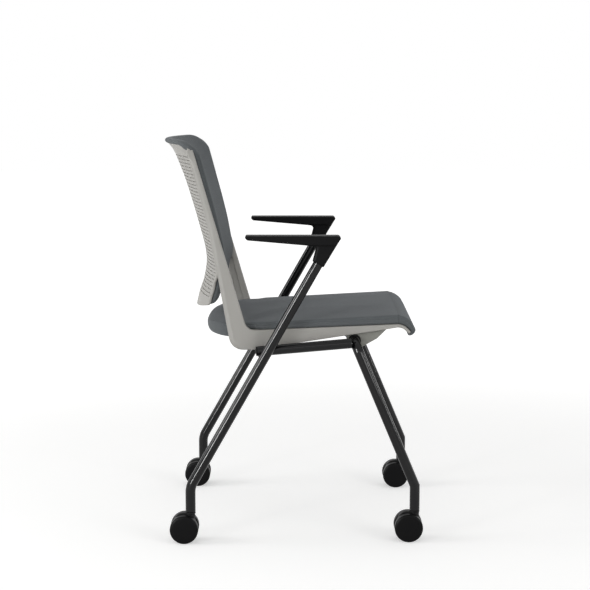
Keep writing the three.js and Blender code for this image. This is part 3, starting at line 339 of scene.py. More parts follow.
def powder_coat(colour):
    # Powder coat on steel tube: sprayed and baked, so smooth to the touch, with a faint
    # orange peel that breaks up long highlights. Black, between satin and gloss.
    material, tree, shader, _, (peel, patches) = surface(
        "black_powder_coat", colour, 0.12, ((2.4 * MM, 2), (60 * MM, 3)), settings={
            "Specular IOR Level": 0.24})
    worked(tree, shader, colour, patches, (0.86, 1.14), patches, (0.1, 0.15), peel, 0.018 * MM)
    return material


def moulded_plastic(name, colour, grain, roughness, depth, spread, specular=0.5):
    # Injection-moulded plastic: the mould's spark-eroded skin gives an even fine grain,
    # and slow flow marks make the tone drift a little over a large face.
    material, tree, shader, _, (fine, slow) = surface(
        name, colour, roughness, ((grain, 2), (90 * MM, 3)), settings={"Specular IOR Level": specular})
    worked(tree, shader, colour, slow, (1 - spread, 1 + spread),
           fine, (roughness - 0.06, roughness + 0.06), fine, depth)
    return material


def rubber():
    # Moulded nitrile rubber: dull, with almost no sheen, and a slightly pitted skin.
    colour = linear("141414")
    material, tree, shader, _, (pits,) = surface("black_nitrile_rubber", colour, 0.82, ((1.2 * MM, 2),))
    worked(tree, shader, colour, pits, (0.8, 1.2), skin=pits, depth=0.05 * MM)
    return material


def zinc_steel():
    # Zinc-plated steel: bright and slightly blue, with a cloudy crystalline drift in its gloss.
    colour = linear("b9bcc0")
    material, tree, shader, _, (cloud,) = surface("zinc_plated_steel", colour, 0.32, ((3 * MM, 4),), 1.0)
    worked(tree, shader, colour, cloud, (0.9, 1.06), cloud, (0.24, 0.4), cloud, 0.01 * MM)
    return material


def upholstery(colour, pitch):
    # Plain-woven polyester upholstery cloth, heather grey: matt, with a soft fuzz at
    # glancing angles. The real yarns are about 0.7 mm apart, which one pixel can't show,
    # so they are drawn at the pitch that the panel gives.
    material, tree, shader, place, (slub, drift) = surface(
        "woven_grey_upholstery", colour, 0.88, ((4 * MM, 4), (70 * MM, 2)), settings={
            "Specular IOR Level": 0.25, "Sheen Weight": 0.18, "Sheen Roughness": 0.45,
            "Sheen Tint": (*linear("c9ccd0"), 1)})
    # The yarns run along X and up the fall of a face that looks forward, up or back, and
    # along Y and Z on a face that looks sideways.
    across, back, up = add(tree, "ShaderNodeSeparateXYZ", inputs={"Vector": place}).outputs
    fall = add(tree, "ShaderNodeMath", {"operation": "ADD"}, {0: back, 1: up}).outputs[0]
    facing = add(tree, "ShaderNodeSeparateXYZ", inputs={
        "Vector": add(tree, "ShaderNodeTexCoord").outputs["Normal"]}).outputs["X"]
    facing = add(tree, "ShaderNodeMath", {"operation": "ABSOLUTE"}, {0: facing}).outputs[0]
    sideways = add(tree, "ShaderNodeMapRange", inputs={
        "Value": facing, "From Min": 0.66, "From Max": 0.76}).outputs["Result"]
    waves = []
    turns = math.pi / pitch
    for flat, side in ((across, back), (fall, up)):
        run = add(tree, "ShaderNodeMix", {"data_type": "FLOAT"}, {0: sideways, 2: flat, 3: side}).outputs[0]
        phase = add(tree, "ShaderNodeMath", {"operation": "MULTIPLY"}, {0: run, 1: turns}).outputs[0]
        waves.append(add(tree, "ShaderNodeMath", {"operation": "SINE"}, {0: phase}).outputs[0])
    over = add(tree, "ShaderNodeMath", {"operation": "MULTIPLY"}, {0: waves[0], 1: waves[1]}).outputs[0]
    weave = add(tree, "ShaderNodeMapRange", inputs={
        "Value": over, "From Min": -1.0, "From Max": 1.0}).outputs["Result"]
    heather = add(tree, "ShaderNodeMix", {"data_type": "FLOAT"}, {0: 0.45, 2: weave, 3: slub}).outputs[0]
    tone = add(tree, "ShaderNodeMix", {"data_type": "FLOAT"}, {0: 0.3, 2: heather, 3: drift}).outputs[0]
    worked(tree, shader, colour, tone, (0.84, 1.14), slub, (0.82, 0.95), heather, 0.16 * MM)
    return material


def studio_floor(colour):
    # A painted paper sweep: matt and pale, lifted for the camera and for reflections, so
    # that it runs out to white and still takes the chair's shadow.
    material, tree, shader, place, (fibre,) = surface("paper_sweep", colour, 0.9, ((300 * MM, 2),))
    worked(tree, shader, colour, fibre, (0.997, 1.0))
    away = add(tree, "ShaderNodeVectorMath", {"operation": "LENGTH"}, {0: place}).outputs["Value"]
    rise = add(tree, "ShaderNodeMapRange", {"interpolation_type": "SMOOTHSTEP"}, {
        "Value": away, "From Min": FLOOR_FADE[0], "From Max": FLOOR_FADE[1],
        "To Min": FLOOR_LIFT[0], "To Max": FLOOR_LIFT[1]}).outputs["Result"]
    lift = add(tree, "ShaderNodeMath", {"operation": "MULTIPLY"}, {0: looked_at(tree), 1: rise})
    glow = add(tree, "ShaderNodeEmission", inputs={"Strength": lift.outputs[0]})
    both = add(tree, "ShaderNodeAddShader", inputs={0: shader.outputs[0], 1: glow.outputs[0]})
    tree.links.new(both.outputs[0], tree.nodes["Material Output"].inputs["Surface"])
    return material


finishes = {}


def finish_of(slot_name):
    """The material of one of the record's slots, made once."""
    if slot_name in finishes:
        return finishes[slot_name]
    sizes, colours = bpy.context.scene.chair_sizes, bpy.context.scene.chair_colours
    grain = sizes.mould_grain
    makers = {
        "frame_paint": lambda: powder_coat(tuple(colours.tube)),
        "arm_plastic": lambda: moulded_plastic(
            "black_moulded_armrest", tuple(colours.arm), grain,
            roughness=0.5, depth=0.05 * MM, spread=0.08, specular=0.08),
        "black_nylon": lambda: moulded_plastic(
            "black_moulded_nylon", linear("0d0d0e"), grain,
            roughness=0.5, depth=0.04 * MM, spread=0.1, specular=0.2),
        "wheel_plastic": lambda: moulded_plastic(
            "black_moulded_polyamide", tuple(colours.wheel), 2 * grain,
            roughness=0.4, depth=0.015 * MM, spread=0.08, specular=0.08),
        "black_rubber": rubber,
        "bright_steel": zinc_steel,
        "shell_plastic": lambda: moulded_plastic(
            "grey_moulded_polypropylene", tuple(colours.shell), grain,
            roughness=0.5, depth=0.06 * MM, spread=0.025),
        "under_plastic": lambda: moulded_plastic(
            "grey_glass_filled_polypropylene", tuple(colours.under), 1.4 * grain,
            roughness=0.58, depth=0.09 * MM, spread=0.06),
        "pad_fabric": lambda: upholstery(tuple(colours.cloth), sizes.thread_pitch),
    }
    finishes[slot_name] = makers[slot_name]()
    return finishes[slot_name]


# Meshes

# Edges that bend more than this, in degrees, are shaded sharp
SHARP = 32
# Points closer than this are one point
SAME = 0.002 * MM


def rings_mesh(rings, caps=True, closed=False):
    """Faces through rings of equally many points, as (points, faces)."""
    count = len(rings[0])
    points = [tuple(point) for ring in rings for point in ring]
    faces = []
    last = len(rings) if closed else len(rings) - 1
    for j in range(last):
        low, high = j * count, ((j + 1) % len(rings)) * count
        for i in range(count):
            after = (i + 1) % count
            faces.append((low + i, low + after, high + after, high + i))
    if caps and not closed:
        faces.append(tuple(range(count))[::-1])
        faces.append(tuple(range((len(rings) - 1) * count, len(rings) * count)))
    return points, faces


def solid(name, *parts, sharp=SHARP):
    """One object from (points, faces) parts, shaded smooth but for edges sharper than sharp degrees."""
    mesh = bpy.data.meshes.new(name)
    work = bmesh.new()
    for points, faces in parts:
        corners = [work.verts.new(point) for point in points]
        for face in faces:
            work.faces.new([corners[i] for i in face])
    bmesh.ops.remove_doubles(work, verts=work.verts, dist=SAME)
    bmesh.ops.recalc_face_normals(work, faces=work.faces)
    work.to_mesh(mesh)
    work.free()
    mesh.polygons.foreach_set("use_smooth", [True] * len(mesh.polygons))
    mesh.set_sharp_from_angle(angle=math.radians(sharp))
    made = bpy.data.objects.new(name, mesh)
    bpy.context.scene.collection.objects.link(made)
    return made


def carved(first, other, how="UNION"):
    """Joins a closed mesh to another, or cuts it away, and drops the other."""
    cut = first.modifiers.new("join", "BOOLEAN")
    cut.operation = how
    cut.solver = "EXACT"
    cut.object = other
    apply_all(first)
    bpy.data.objects.remove(other)
    first.data.polygons.foreach_set("use_smooth", [True] * len(first.data.polygons))
    first.data.set_sharp_from_angle(angle=math.radians(SHARP))
    return first


def apply_all(made):
    """Bakes an object's modifiers into its mesh."""
    seen = made.evaluated_get(bpy.context.evaluated_depsgraph_get())
    baked = bpy.data.meshes.new_from_object(seen)
    made.modifiers.clear()
    made.data = baked


def settle(made, body, slot_name, *nodes):
    """Gives a piece its finish, its body, and the CAD nodes that it stands for."""
    made.data.materials.clear()
    made.data.materials.append(finish_of(slot_name))
    if nodes:
        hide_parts(*nodes)
    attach(made, body)
    return made


def dress(slot_name, *nodes):
    """Gives CAD nodes that stay as they are their finish."""
    for node in nodes:
        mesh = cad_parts[node].data
        mesh.materials.clear()
        mesh.materials.append(finish_of(slot_name))


def rounded(corners, steps=8):
    """An outline of (a, b, radius) corners with each arc drawn in equal steps."""
    outline = []
    for i, corner in enumerate(corners):
        here = Vector(corner[:2])
        if len(corner) < 3:
            outline.append(here)
            continue
        before = Vector(corners[i - 1][:2]) - here
        after = Vector(corners[(i + 1) % len(corners)][:2]) - here
        opening = before.angle(after)
        room = 0.55 * min(before.length, after.length) * math.tan(opening / 2)
        radius = min(corner[2], room)
        before.normalize()
        after.normalize()
        centre = here + (before + after).normalized() * (radius / math.sin(opening / 2))
        start = here + before * (radius / math.tan(opening / 2)) - centre
        turn = math.copysign(math.pi - opening, before.x * start.y - before.y * start.x)
        outline += [Matrix.Rotation(turn * k / steps, 2) @ start + centre for k in range(steps + 1)]
    return outline


def inset(corners, distance):
    """Corners drawn in by a distance: outward ones grow tighter and inward ones wider."""
    count = len(corners)
    points = [Vector(corner[:2]) for corner in corners]
    area = sum(a.x * b.y - b.x * a.y for a, b in zip(points, points[1:] + points[:1]))
    side = math.copysign(1, area)
    drawn = []
    for i, point in enumerate(points):
        before = (point - points[i - 1]).normalized()
        after = (points[(i + 1) % count] - point).normalized()
        mitre = Vector((-before.y - after.y, before.x + after.x)) * side
        moved = point + mitre * (distance / max(1 + before.dot(after), 0.2))
        if len(corners[i]) < 3:
            drawn.append(moved)
            continue
        outward = (before.x * after.y - before.y * after.x) * side > 0
        radius = max(corners[i][2] - distance, 0.1 * MM) if outward else corners[i][2] + distance
        drawn.append((*moved, radius))
    return drawn


def edge_steps(radius, steps=4):
    """(way in from the face, inset) pairs of a rounded edge, with a narrow flat rim on the face."""
    turn = [math.pi / 2 * k / steps for k in range(steps + 1)]
    rounds = [(radius * (1 - math.sin(t)), radius * (1 - math.cos(t))) for t in turn]
    return [(0, radius + 0.15 * MM)] + rounds[::-1]


def slab(corners, low, high, radius=1 * MM, steps=4):
    """A YZ outline of corners made solid along X with rounded rims."""
    rows = [(low + way, cut) for way, cut in edge_steps(radius, steps)]
    rows += [(high - way, cut) for way, cut in edge_steps(radius, steps)[::-1]]
    rings = [[(x, p.x, p.y) for p in rounded(inset(corners, cut))] for x, cut in rows]
    return rings_mesh(rings)


def circle(radius, sides):
    return [(radius * math.cos(2 * math.pi * i / sides), radius * math.sin(2 * math.pi * i / sides))
            for i in range(sides)]


def square_to(direction, hint):
    """Two unit vectors square to a direction."""
    across = hint.cross(direction)
    if across.length < 1e-4:
        across = Vector((0, 1, 0)).cross(direction)
    across.normalize()
    return across, direction.cross(across)


def turned(profile, base, axis, sides=48):
    """A profile of (radius, height) turned round an axis through base."""
    axis = Vector(axis).normalized()
    across, up = square_to(axis, Vector((0, 0, 1)) if abs(axis.z) < 0.9 else Vector((1, 0, 0)))
    rings = [[Vector(base) + across * c * radius + up * s * radius + axis * height
              for c, s in circle(1, sides)] for radius, height in profile]
    return rings_mesh(rings)


def bent_line(corners, radii, steps=14):
    """A line of straight runs with a round bend at each inner corner, as (point, heading) pairs."""
    corners = [Vector(corner) for corner in corners]
    line = [(corners[0], (corners[1] - corners[0]).normalized())]
    for i, radius in enumerate(radii, 1):
        before = (corners[i] - corners[i - 1]).normalized()
        after = (corners[i + 1] - corners[i]).normalized()
        if not radius:
            line.append((corners[i], (before + after) / (1 + before.dot(after))))
            continue
        turn = before.angle(after)
        centre = corners[i] + (after - before).normalized() * (radius / math.cos(turn / 2))
        axis = before.cross(after).normalized()
        arm = corners[i] - before * (radius * math.tan(turn / 2)) - centre
        for k in range(steps + 1):
            spin = Matrix.Rotation(turn * k / steps, 3, axis)
            line.append((centre + spin @ arm, spin @ before))
    line.append((corners[-1], (corners[-1] - corners[-2]).normalized()))
    return line


def mitred(before, corner, heading):
    """Carries the ring before a mitre straight on to the mitre's plane."""
    middle = sum(before, Vector()) / len(before)
    run = (corner - middle).normalized()
    return [point + run * ((corner - point).dot(heading) / run.dot(heading)) for point in before]


def tube(line, radius=TUBE_RADIUS, sides=40, rim=1.2 * MM):
    """A round bar along a line, its ends' rims broken."""
    start, end = line[0], line[-1]
    stations = [(start[0], start[1], radius - rim)]
    stations.append((start[0] + start[1] * rim, start[1], radius))
    stations += [(point, heading, radius) for point, heading in line[1:-1]]
    stations.append((end[0] - end[1] * rim, end[1], radius))
    stations.append((end[0], end[1], radius - rim))
    across = square_to(start[1], Vector((1, 0, 0)))[0]
    rings = []
    for point, heading, size in stations:
        stretch = heading.length
        heading = heading.normalized()
        across = (across - heading * across.dot(heading)).normalized()
        up = heading.cross(across)
        rings.append([point + (across * c + up * s) * size for c, s in circle(1, sides)])
        if stretch > 1.001:
            rings[-1] = mitred(rings[-2], point, heading)
    return rings_mesh(rings)


# Places on the frame and the shell

def mix(low, high, share):
    return low + (high - low) * share


def rear_leg_at(z):
    share = (z - REAR_BEND) / (REAR_TOP[2] - REAR_BEND)
    return mix(REAR_LEG[0], REAR_TOP[0], share), mix(REAR_LEG[1], REAR_TOP[1], share)


def side_tube_height(y):
    return mix(PIVOT[1], SIDE_TUBE_END[1], (y - PIVOT[0]) / (SIDE_TUBE_END[0] - PIVOT[0]))


def side_tube_x():
    height = PIVOT[1]
    for _ in range(20):
        height = side_tube_height(rear_leg_at(height)[1])
    return rear_leg_at(height)[0] - 2 * TUBE_RADIUS - SEAT_GAP


def rail_top(y):
    return mix(RAIL_REAR[1], RAIL_FRONT[1], (RAIL_REAR[0] - y) / (RAIL_REAR[0] - RAIL_FRONT[0]))


def upright_front(z):
    return RAIL_REAR[0] + LEAN * (z - RAIL_REAR[1])


def upright_rear(z):
    taper = upright_front(TAPER_HEIGHT) + TAPER_WIDTH
    low = (z - HEEL[1]) / (TAPER_HEIGHT - HEEL[1])
    if low < 1:
        return mix(HEEL[0], taper, low)
    top = upright_front(UPRIGHT_TOP) + TOP_WIDTH
    return mix(taper, top, (z - TAPER_HEIGHT) / (UPRIGHT_TOP - TAPER_HEIGHT))


def through(at_shares, value_shares, share):
    """A value read off a smooth curve through shares of a run and of a rise."""
    last = len(at_shares) - 1
    at = min(max(share, 0), 1)
    i = 0
    while i < last - 1 and at > at_shares[i + 1]:
        i += 1

    def slope(k):
        low, high = max(k - 1, 0), min(k + 1, last)
        return (value_shares[high] - value_shares[low]) / (at_shares[high] - at_shares[low])

    span = at_shares[i + 1] - at_shares[i]
    t = (at - at_shares[i]) / span
    return ((2 * t ** 3 - 3 * t ** 2 + 1) * value_shares[i] + (t ** 3 - 2 * t ** 2 + t) * span * slope(i)
            + (3 * t ** 2 - 2 * t ** 3) * value_shares[i + 1] + (t ** 3 - t ** 2) * span * slope(i + 1))


def back_rear(x, z):
    """Rear face of the back: hollow towards the sitter, so its sides stand forward."""
    share = (z - BACK_BOTTOM) / (BACK_TOP - BACK_BOTTOM)
    middle = mix(WAIST_REACH[0], TOP_REACH[0], through(HEIGHT_SHARES, MIDDLE_SHARES, share))
    side = mix(WAIST_REACH[1], TOP_REACH[1], through(HEIGHT_SHARES, SIDE_SHARES, share))
    return mix(middle, side, (x / INNER_HALF) ** 2)


def tail_rise(x, z):
    fade = min(max((SLOT_FIELD[0] - z) / (SLOT_FIELD[0] - BACK_BOTTOM), 0), 1)
    return TAIL_RISE * fade * (x / TAIL_HALF) ** 2


def corner_drop(x):
    past = max(abs(x) - (SHELL_HALF - CORNER), 0)
    return CORNER - math.sqrt(max(CORNER ** 2 - past ** 2, 0))


def corner_half(z):
    past = max(z - (BACK_TOP - CORNER), 0)
    return SHELL_HALF - CORNER + math.sqrt(max(CORNER ** 2 - past ** 2, 0))


def smooth_share(value, low, high):
    t = min(max((value - low) / (high - low), 0), 1)
    return t * t * (3 - 2 * t)


def tail_half(z):
    narrowing = smooth_share(TAIL_HEIGHT + TAIL_BLEND / 2 - z, 0, TAIL_BLEND)
    past = max(TAIL_CORNER - (z - BACK_BOTTOM), 0)
    corner = TAIL_CORNER - math.sqrt(max(TAIL_CORNER ** 2 - past ** 2, 0))
    return mix(INNER_HALF - SEAT_GAP, TAIL_HALF, narrowing) - corner


def beside(line, distance):
    """An open line's copy at a distance to its right, seen along the run."""
    drawn = []
    for i, point in enumerate(line):
        before = (line[i] - line[i - 1]).normalized() if i else (line[1] - line[0]).normalized()
        after = (line[i + 1] - line[i]).normalized() if i < len(line) - 1 else before
        mitre = Vector((before.y + after.y, -before.x - after.x))
        drawn.append(point + mitre * (distance / (1 + before.dot(after))))
    return drawn


def nose_line(rear):
    """Top line of the rails and the pan, from the rear over the bend to the nose's tip."""
    corners = [(rear, rail_top(rear)), (*RAIL_FRONT, NOSE_BEND), NOSE]
    return rounded(corners)


# Profiles that are turned about an axis, as (radius, height)
END_CAP = mm((10.6, 0.3), (11, 0.7), (11, 1.4), (10.1, 2.3), (6.6, 2.9), (1, 3.1))
FERRULE = mm((6, 0), (10.4, 0), (11, 0.6), (11, 2.5), (10.6, 3), (9, 3.2), (8.6, 34), (6, 34))
CASTER_NECK = mm((9, 40), (10, 44), (10, 60.8), (9, 62.2))
WHEEL = mm((5, 0.6), (24, 0.6), (25, 0), (29.6, 0), (30.7, 0.6), (31, 1.8), (31, 15.6), (30.8, 17),
           (30.2, 18.2), (29.2, 19.1), (27.8, 19.7), (26, 20), (18, 20.3), (10, 20.5), (1, 20.6))
SCREW = mm((2.1, -9), (2.2, 0), (4.3, 0), (4.5, 0.4), (4.5, 2), (4.1, 2.9), (3.2, 3.4), (2.1, 3.5),
           (1.7, 3.3), (1.6, 1.6))
BUSH = mm((11.4, 0), (13, 0), (13.3, 0.4), (13.3, 35.6), (13, 36), (11.4, 36))


class LegFrame(bpy.types.Operator):
    """Makes the welded tubes of the leg frame, with its end plugs and rubber buffers"""

    bl_idname = "chair.leg_frame"
    bl_label = "Leg frame"

    def execute(self, context):
        inner = side_tube_x()
        foot, bend = (FRONT_LEG[1], LEG_END), (FRONT_LEG[1], FRONT_BEND)
        corners = [(-FRONT_LEG[0], *foot), (-FRONT_LEG[0], *bend), (-inner, *PIVOT),
                   (inner, *PIVOT), (FRONT_LEG[0], *bend), (FRONT_LEG[0], *foot)]
        shoulder, soft = BEND_RADII
        front = solid("front_leg_tube", tube(bent_line(corners, (0, shoulder, shoulder, 0))))
        settle(front, "frame", "frame_paint", "front_leg_frame")
        for side, s in SIDES:
            track, back = s * REAR_LEG[0], REAR_LEG[1]
            leg = bent_line([(track, back, LEG_END), (track, back, REAR_BEND),
                             (s * REAR_TOP[0], *REAR_TOP[1:])], (soft,))
            settle(solid(f"rear_leg_tube_{side}", tube(leg)), "frame", "frame_paint", f"rear_leg_{side}")
            start, end = Vector((s * inner, *PIVOT)), Vector((s * inner, *SIDE_TUBE_END))
            run = (end - start).normalized()
            rail = [(start + run * TUBE_RADIUS * 0.6, run), (end, run)]
            settle(solid(f"seat_rail_tube_{side}", tube(rail)), "frame", "frame_paint", f"side_tube_{side}")
            cap = solid(f"tube_end_cap_{side}", turned(END_CAP, end, run))
            settle(cap, "frame", "black_nylon", f"side_tube_plug_{side}")
            dress("black_rubber", f"seat_buffer_{side}")
        line = [(Vector((-inner + TUBE_RADIUS / 2, *CROSS_TUBE)), Vector((1, 0, 0))),
                (Vector((inner - TUBE_RADIUS / 2, *CROSS_TUBE)), Vector((1, 0, 0)))]
        settle(solid("cross_tube_rear", tube(line)), "frame", "frame_paint", "rear_cross_tube")
        return {"FINISHED"}


class Armrests(bpy.types.Operator):
    """Makes the two black armrests with the necks that sleeve the rear legs"""

    bl_idname = "chair.armrests"
    bl_label = "Armrests"

    def execute(self, context):
        lean = math.atan((REAR_LEG[1] - REAR_TOP[1]) / (REAR_TOP[2] - REAR_BEND))
        half_neck = NECK_RADIUS / math.cos(lean)
        under = ARM_TOP - ARM_DEPTH
        neck_y = rear_leg_at(NECK_HEIGHT)[1]
        dip = NECK_RADIUS * math.sin(lean)
        root = (rear_leg_at(under)[1] + half_neck + NECK_SPREAD, under - NECK_DROP)
        collar = [(neck_y + NECK_RADIUS * math.cos(lean), NECK_HEIGHT + dip, SOFT),
                  (neck_y - NECK_RADIUS * math.cos(lean), NECK_HEIGHT - dip, SOFT)]
        grip = [(ARM_REAR, ARM_TOP, ARM_EDGE), (ARM_REAR - ARM_SLANT, ARM_TOP - ARM_TIP, ARM_TIP_BEND),
                (ARM_ROOT, under, ARM_BEND), (rear_leg_at(under)[1] - half_neck, under, ROUND),
                (ARM_FRONT, ARM_TOP - ARM_SLOPE, ARM_SLOPE / 2), (ARM_FRONT + ARM_SLOPE, ARM_TOP, ARM_SLOPE)]
        tail, sunk = root[0] + NECK_TAIL, ARM_TOP - NECK_SUNK
        stalk = [(tail, sunk, SOFT), (tail, under - NECK_BLEND, SOFT), (*root, NECK_BEND), *collar,
                 (rear_leg_at(ARM_TOP)[1] - half_neck, sunk, SOFT)]
        half = ARM_WIDTH / 2
        splay = (REAR_TOP[0] - REAR_LEG[0]) / (REAR_TOP[2] - REAR_BEND)
        for side, s in SIDES:
            middle = s * REAR_TOP[0]
            pad = solid(f"armrest_{side}", slab(grip, middle - half, middle + half, ARM_EDGE, 5))
            points, faces = slab(stalk, -NECK_RADIUS, NECK_RADIUS, NECK_EDGE, 6)
            points = [(middle + x + s * splay * (z - REAR_TOP[2]), y, z) for x, y, z in points]
            carved(pad, solid(f"neck_{side}", (points, faces)))
            settle(pad, "frame", "arm_plastic", f"arm_pad_{side}")
        return {"FINISHED"}


class Casters(bpy.types.Operator):
    """Makes the four twin-wheel casters, each with its socket, hood and two wheels"""

    bl_idname = "chair.casters"
    bl_label = "Casters"

    def execute(self, context):
        for end, (track, y) in (("front", FRONT_LEG), ("rear", REAR_LEG)):
            for side, s in SIDES:
                self.caster(f"{end}_caster_{side}", s * track, y)
        return {"FINISHED"}

    def caster(self, name, x, y):
        up = (0, 0, 1)
        ferrule = solid(f"{name}_ferrule", turned(FERRULE, (x, y, SOCKET_FOOT), up))
        settle(ferrule, "frame", "black_nylon", f"{name}_socket")
        hub = Vector((y + CASTER_TRAIL, WHEEL_RADIUS))

        def arc(radius, low, high, count):
            """Points of the hood's outline round the hub, from one angle in degrees to another."""
            turns = [math.radians(mix(low, high, i / (count - 1))) for i in range(count)]
            return [hub + Vector((radius * math.cos(t), radius * math.sin(t))) for t in turns]

        crest = arc(CREST_RADIUS, *CREST_ARC, 34)
        for i, point in enumerate(crest):
            sink = smooth_share(abs(2 * i / (len(crest) - 1) - 1), 0.3, 1)
            crest[i] = point + (hub - point).normalized() * CREST_SINK * sink
        plate = crest + arc(HOOD_RADIUS, *HOOD_ARC, 48)
        hood = solid(f"{name}_bridge", slab(plate, x - HOOD_WIDTH / 2, x + HOOD_WIDTH / 2, HOOD_EDGE))
        carved(hood, solid("neck", turned(CASTER_NECK, (x, y, 0), up)))
        settle(hood, f"{name}_fork", "black_nylon", f"{name}_hood")
        dress("bright_steel", f"{name}_stem", f"{name}_axle")
        face = CASTER_WIDTH / 2
        for which, t in (("outer", math.copysign(1, x)), ("inner", -math.copysign(1, x))):
            wheel = turned(WHEEL, (x + t * (face - WHEEL_WIDTH), *hub), (t, 0, 0), 72)
            made = solid(f"{name}_{which}_wheel", wheel, sharp=40)
            settle(made, f"{name}_{which}", "wheel_plastic", f"{name}_wheel_{which}")


BAR_WIDTH = 14
# Each row: the way out through the bar, how far its outline is drawn in, and the chamfer's share
BAR_ROWS = ((0, 1.2, 0), (0.1, 1, 0), (0.5, 0.3, 0), (1.2, 0, 0), (9.8, 0, 0), (10.6, 0, 0.06),
            (12, 0.15, 0.4), (13.3, 0.7, 0.77), (13.85, 1.4, 0.9), (14, 2.1, 0.96), (14, 2.4, 1))
POCKET_TOP = 680 * MM
POCKET_FRONT = -120 * MM
POCKET_DEPTH = 3.5 * MM
POCKET_BAND = 15 * MM
POCKET_RIM = 9 * MM
POCKET_BACK = 3 * MM
POCKET_HEEL = 6 * MM
POCKET_FOOT = 5 * MM
POCKET_ELBOW = 33 * MM


class SideArms(bpy.types.Operator):
    """Makes the shell's two side mouldings, seat rail and upright in one"""

    bl_idname = "chair.side_arms"
    bl_label = "Side mouldings"

    def execute(self, context):
        for side, s in SIDES:
            low, high = sorted((s * SHELL_HALF, s * INNER_HALF))
            bar = solid(f"side_moulding_{side}", self.bar(low, high, s))
            carved(bar, solid("pocket", self.pocket(s)), "DIFFERENCE")
            settle(bar, "shell", "shell_plastic", f"side_arm_{side}")
        return {"FINISHED"}

    def outline(self, x, cut=0.0):
        """The bar's corners at x, lower where the shell's corner rounds off; cut is the chamfer's share."""
        top = min(UPRIGHT_TOP, BACK_TOP - corner_drop(x))
        heights = [mix(TAPER_HEIGHT, top, k / 4) for k in range(5)]
        front = [(upright_front(z), z) for z in heights]
        rear = []
        for z in heights:
            room = 0.36 * (upright_rear(z) - upright_front(z))
            rear.append((upright_rear(z) - cut * min(CHAMFER, room), z))
        front[-1] = (*front[-1], CREST_BENDS[0])
        rear[-1] = (*rear[-1], CREST_BENDS[1])
        lip = beside([Vector(RAIL_REAR), Vector(RAIL_FRONT), Vector(NOSE)], -LIP)
        start = [(*NOSE, LIP_EDGE), (*RAIL_FRONT, NOSE_BEND), (*RAIL_REAR, ELBOW_BEND)]
        heel = (HEEL[0] - 0.9 * cut * CHAMFER, HEEL[1] + 0.1 * cut * CHAMFER, HEEL_BEND)
        low = [heel, (KNEE, HEEL[1], HEEL_BEND), (*TOE, HEEL_BEND), (*lip[1], LIP_BEND), (*lip[2], LIP_EDGE)]
        return start + front + rear[::-1] + low

    def bar(self, low, high, s):
        """The bar with soft edges all round, and a broad chamfer along its outer rear edge."""
        inner, outer = (low, high) if s > 0 else (high, low)
        rings = []
        for way, drawn, cut in BAR_ROWS:
            x = mix(inner, outer, way / BAR_WIDTH)
            rings.append([(x, p.x, p.y) for p in rounded(inset(self.outline(x, cut), drawn * MM))])
        return rings_mesh(rings)

    def pocket(self, s):
        """The inner face lies back between the bands along its front, top and rear edges."""
        high, front_end = POCKET_TOP, POCKET_FRONT
        elbow = beside([Vector((upright_front(TAPER_HEIGHT), TAPER_HEIGHT)), Vector(RAIL_REAR),
                        Vector(RAIL_FRONT)], -POCKET_BAND)[1]
        low = mix(HEEL[1], TOE[1], (KNEE - front_end) / (KNEE - TOE[0])) + POCKET_FOOT
        foot, bend = HEEL[1] + POCKET_FOOT, HEEL_BEND - POCKET_FOOT
        corners = [(upright_front(high) + POCKET_RIM, high, CRISP),
                   (upright_rear(high) - POCKET_BACK, high, CRISP),
                   (HEEL[0] - POCKET_HEEL, foot, bend), (KNEE, foot, bend), (front_end, low, SOFT),
                   (front_end, rail_top(front_end) - POCKET_RIM, SOFT), (*elbow, POCKET_ELBOW)]
        near, far = sorted((s * (INNER_HALF - OVERRUN), s * (INNER_HALF + POCKET_DEPTH)))
        return slab(corners, near, far, CRISP, 2)


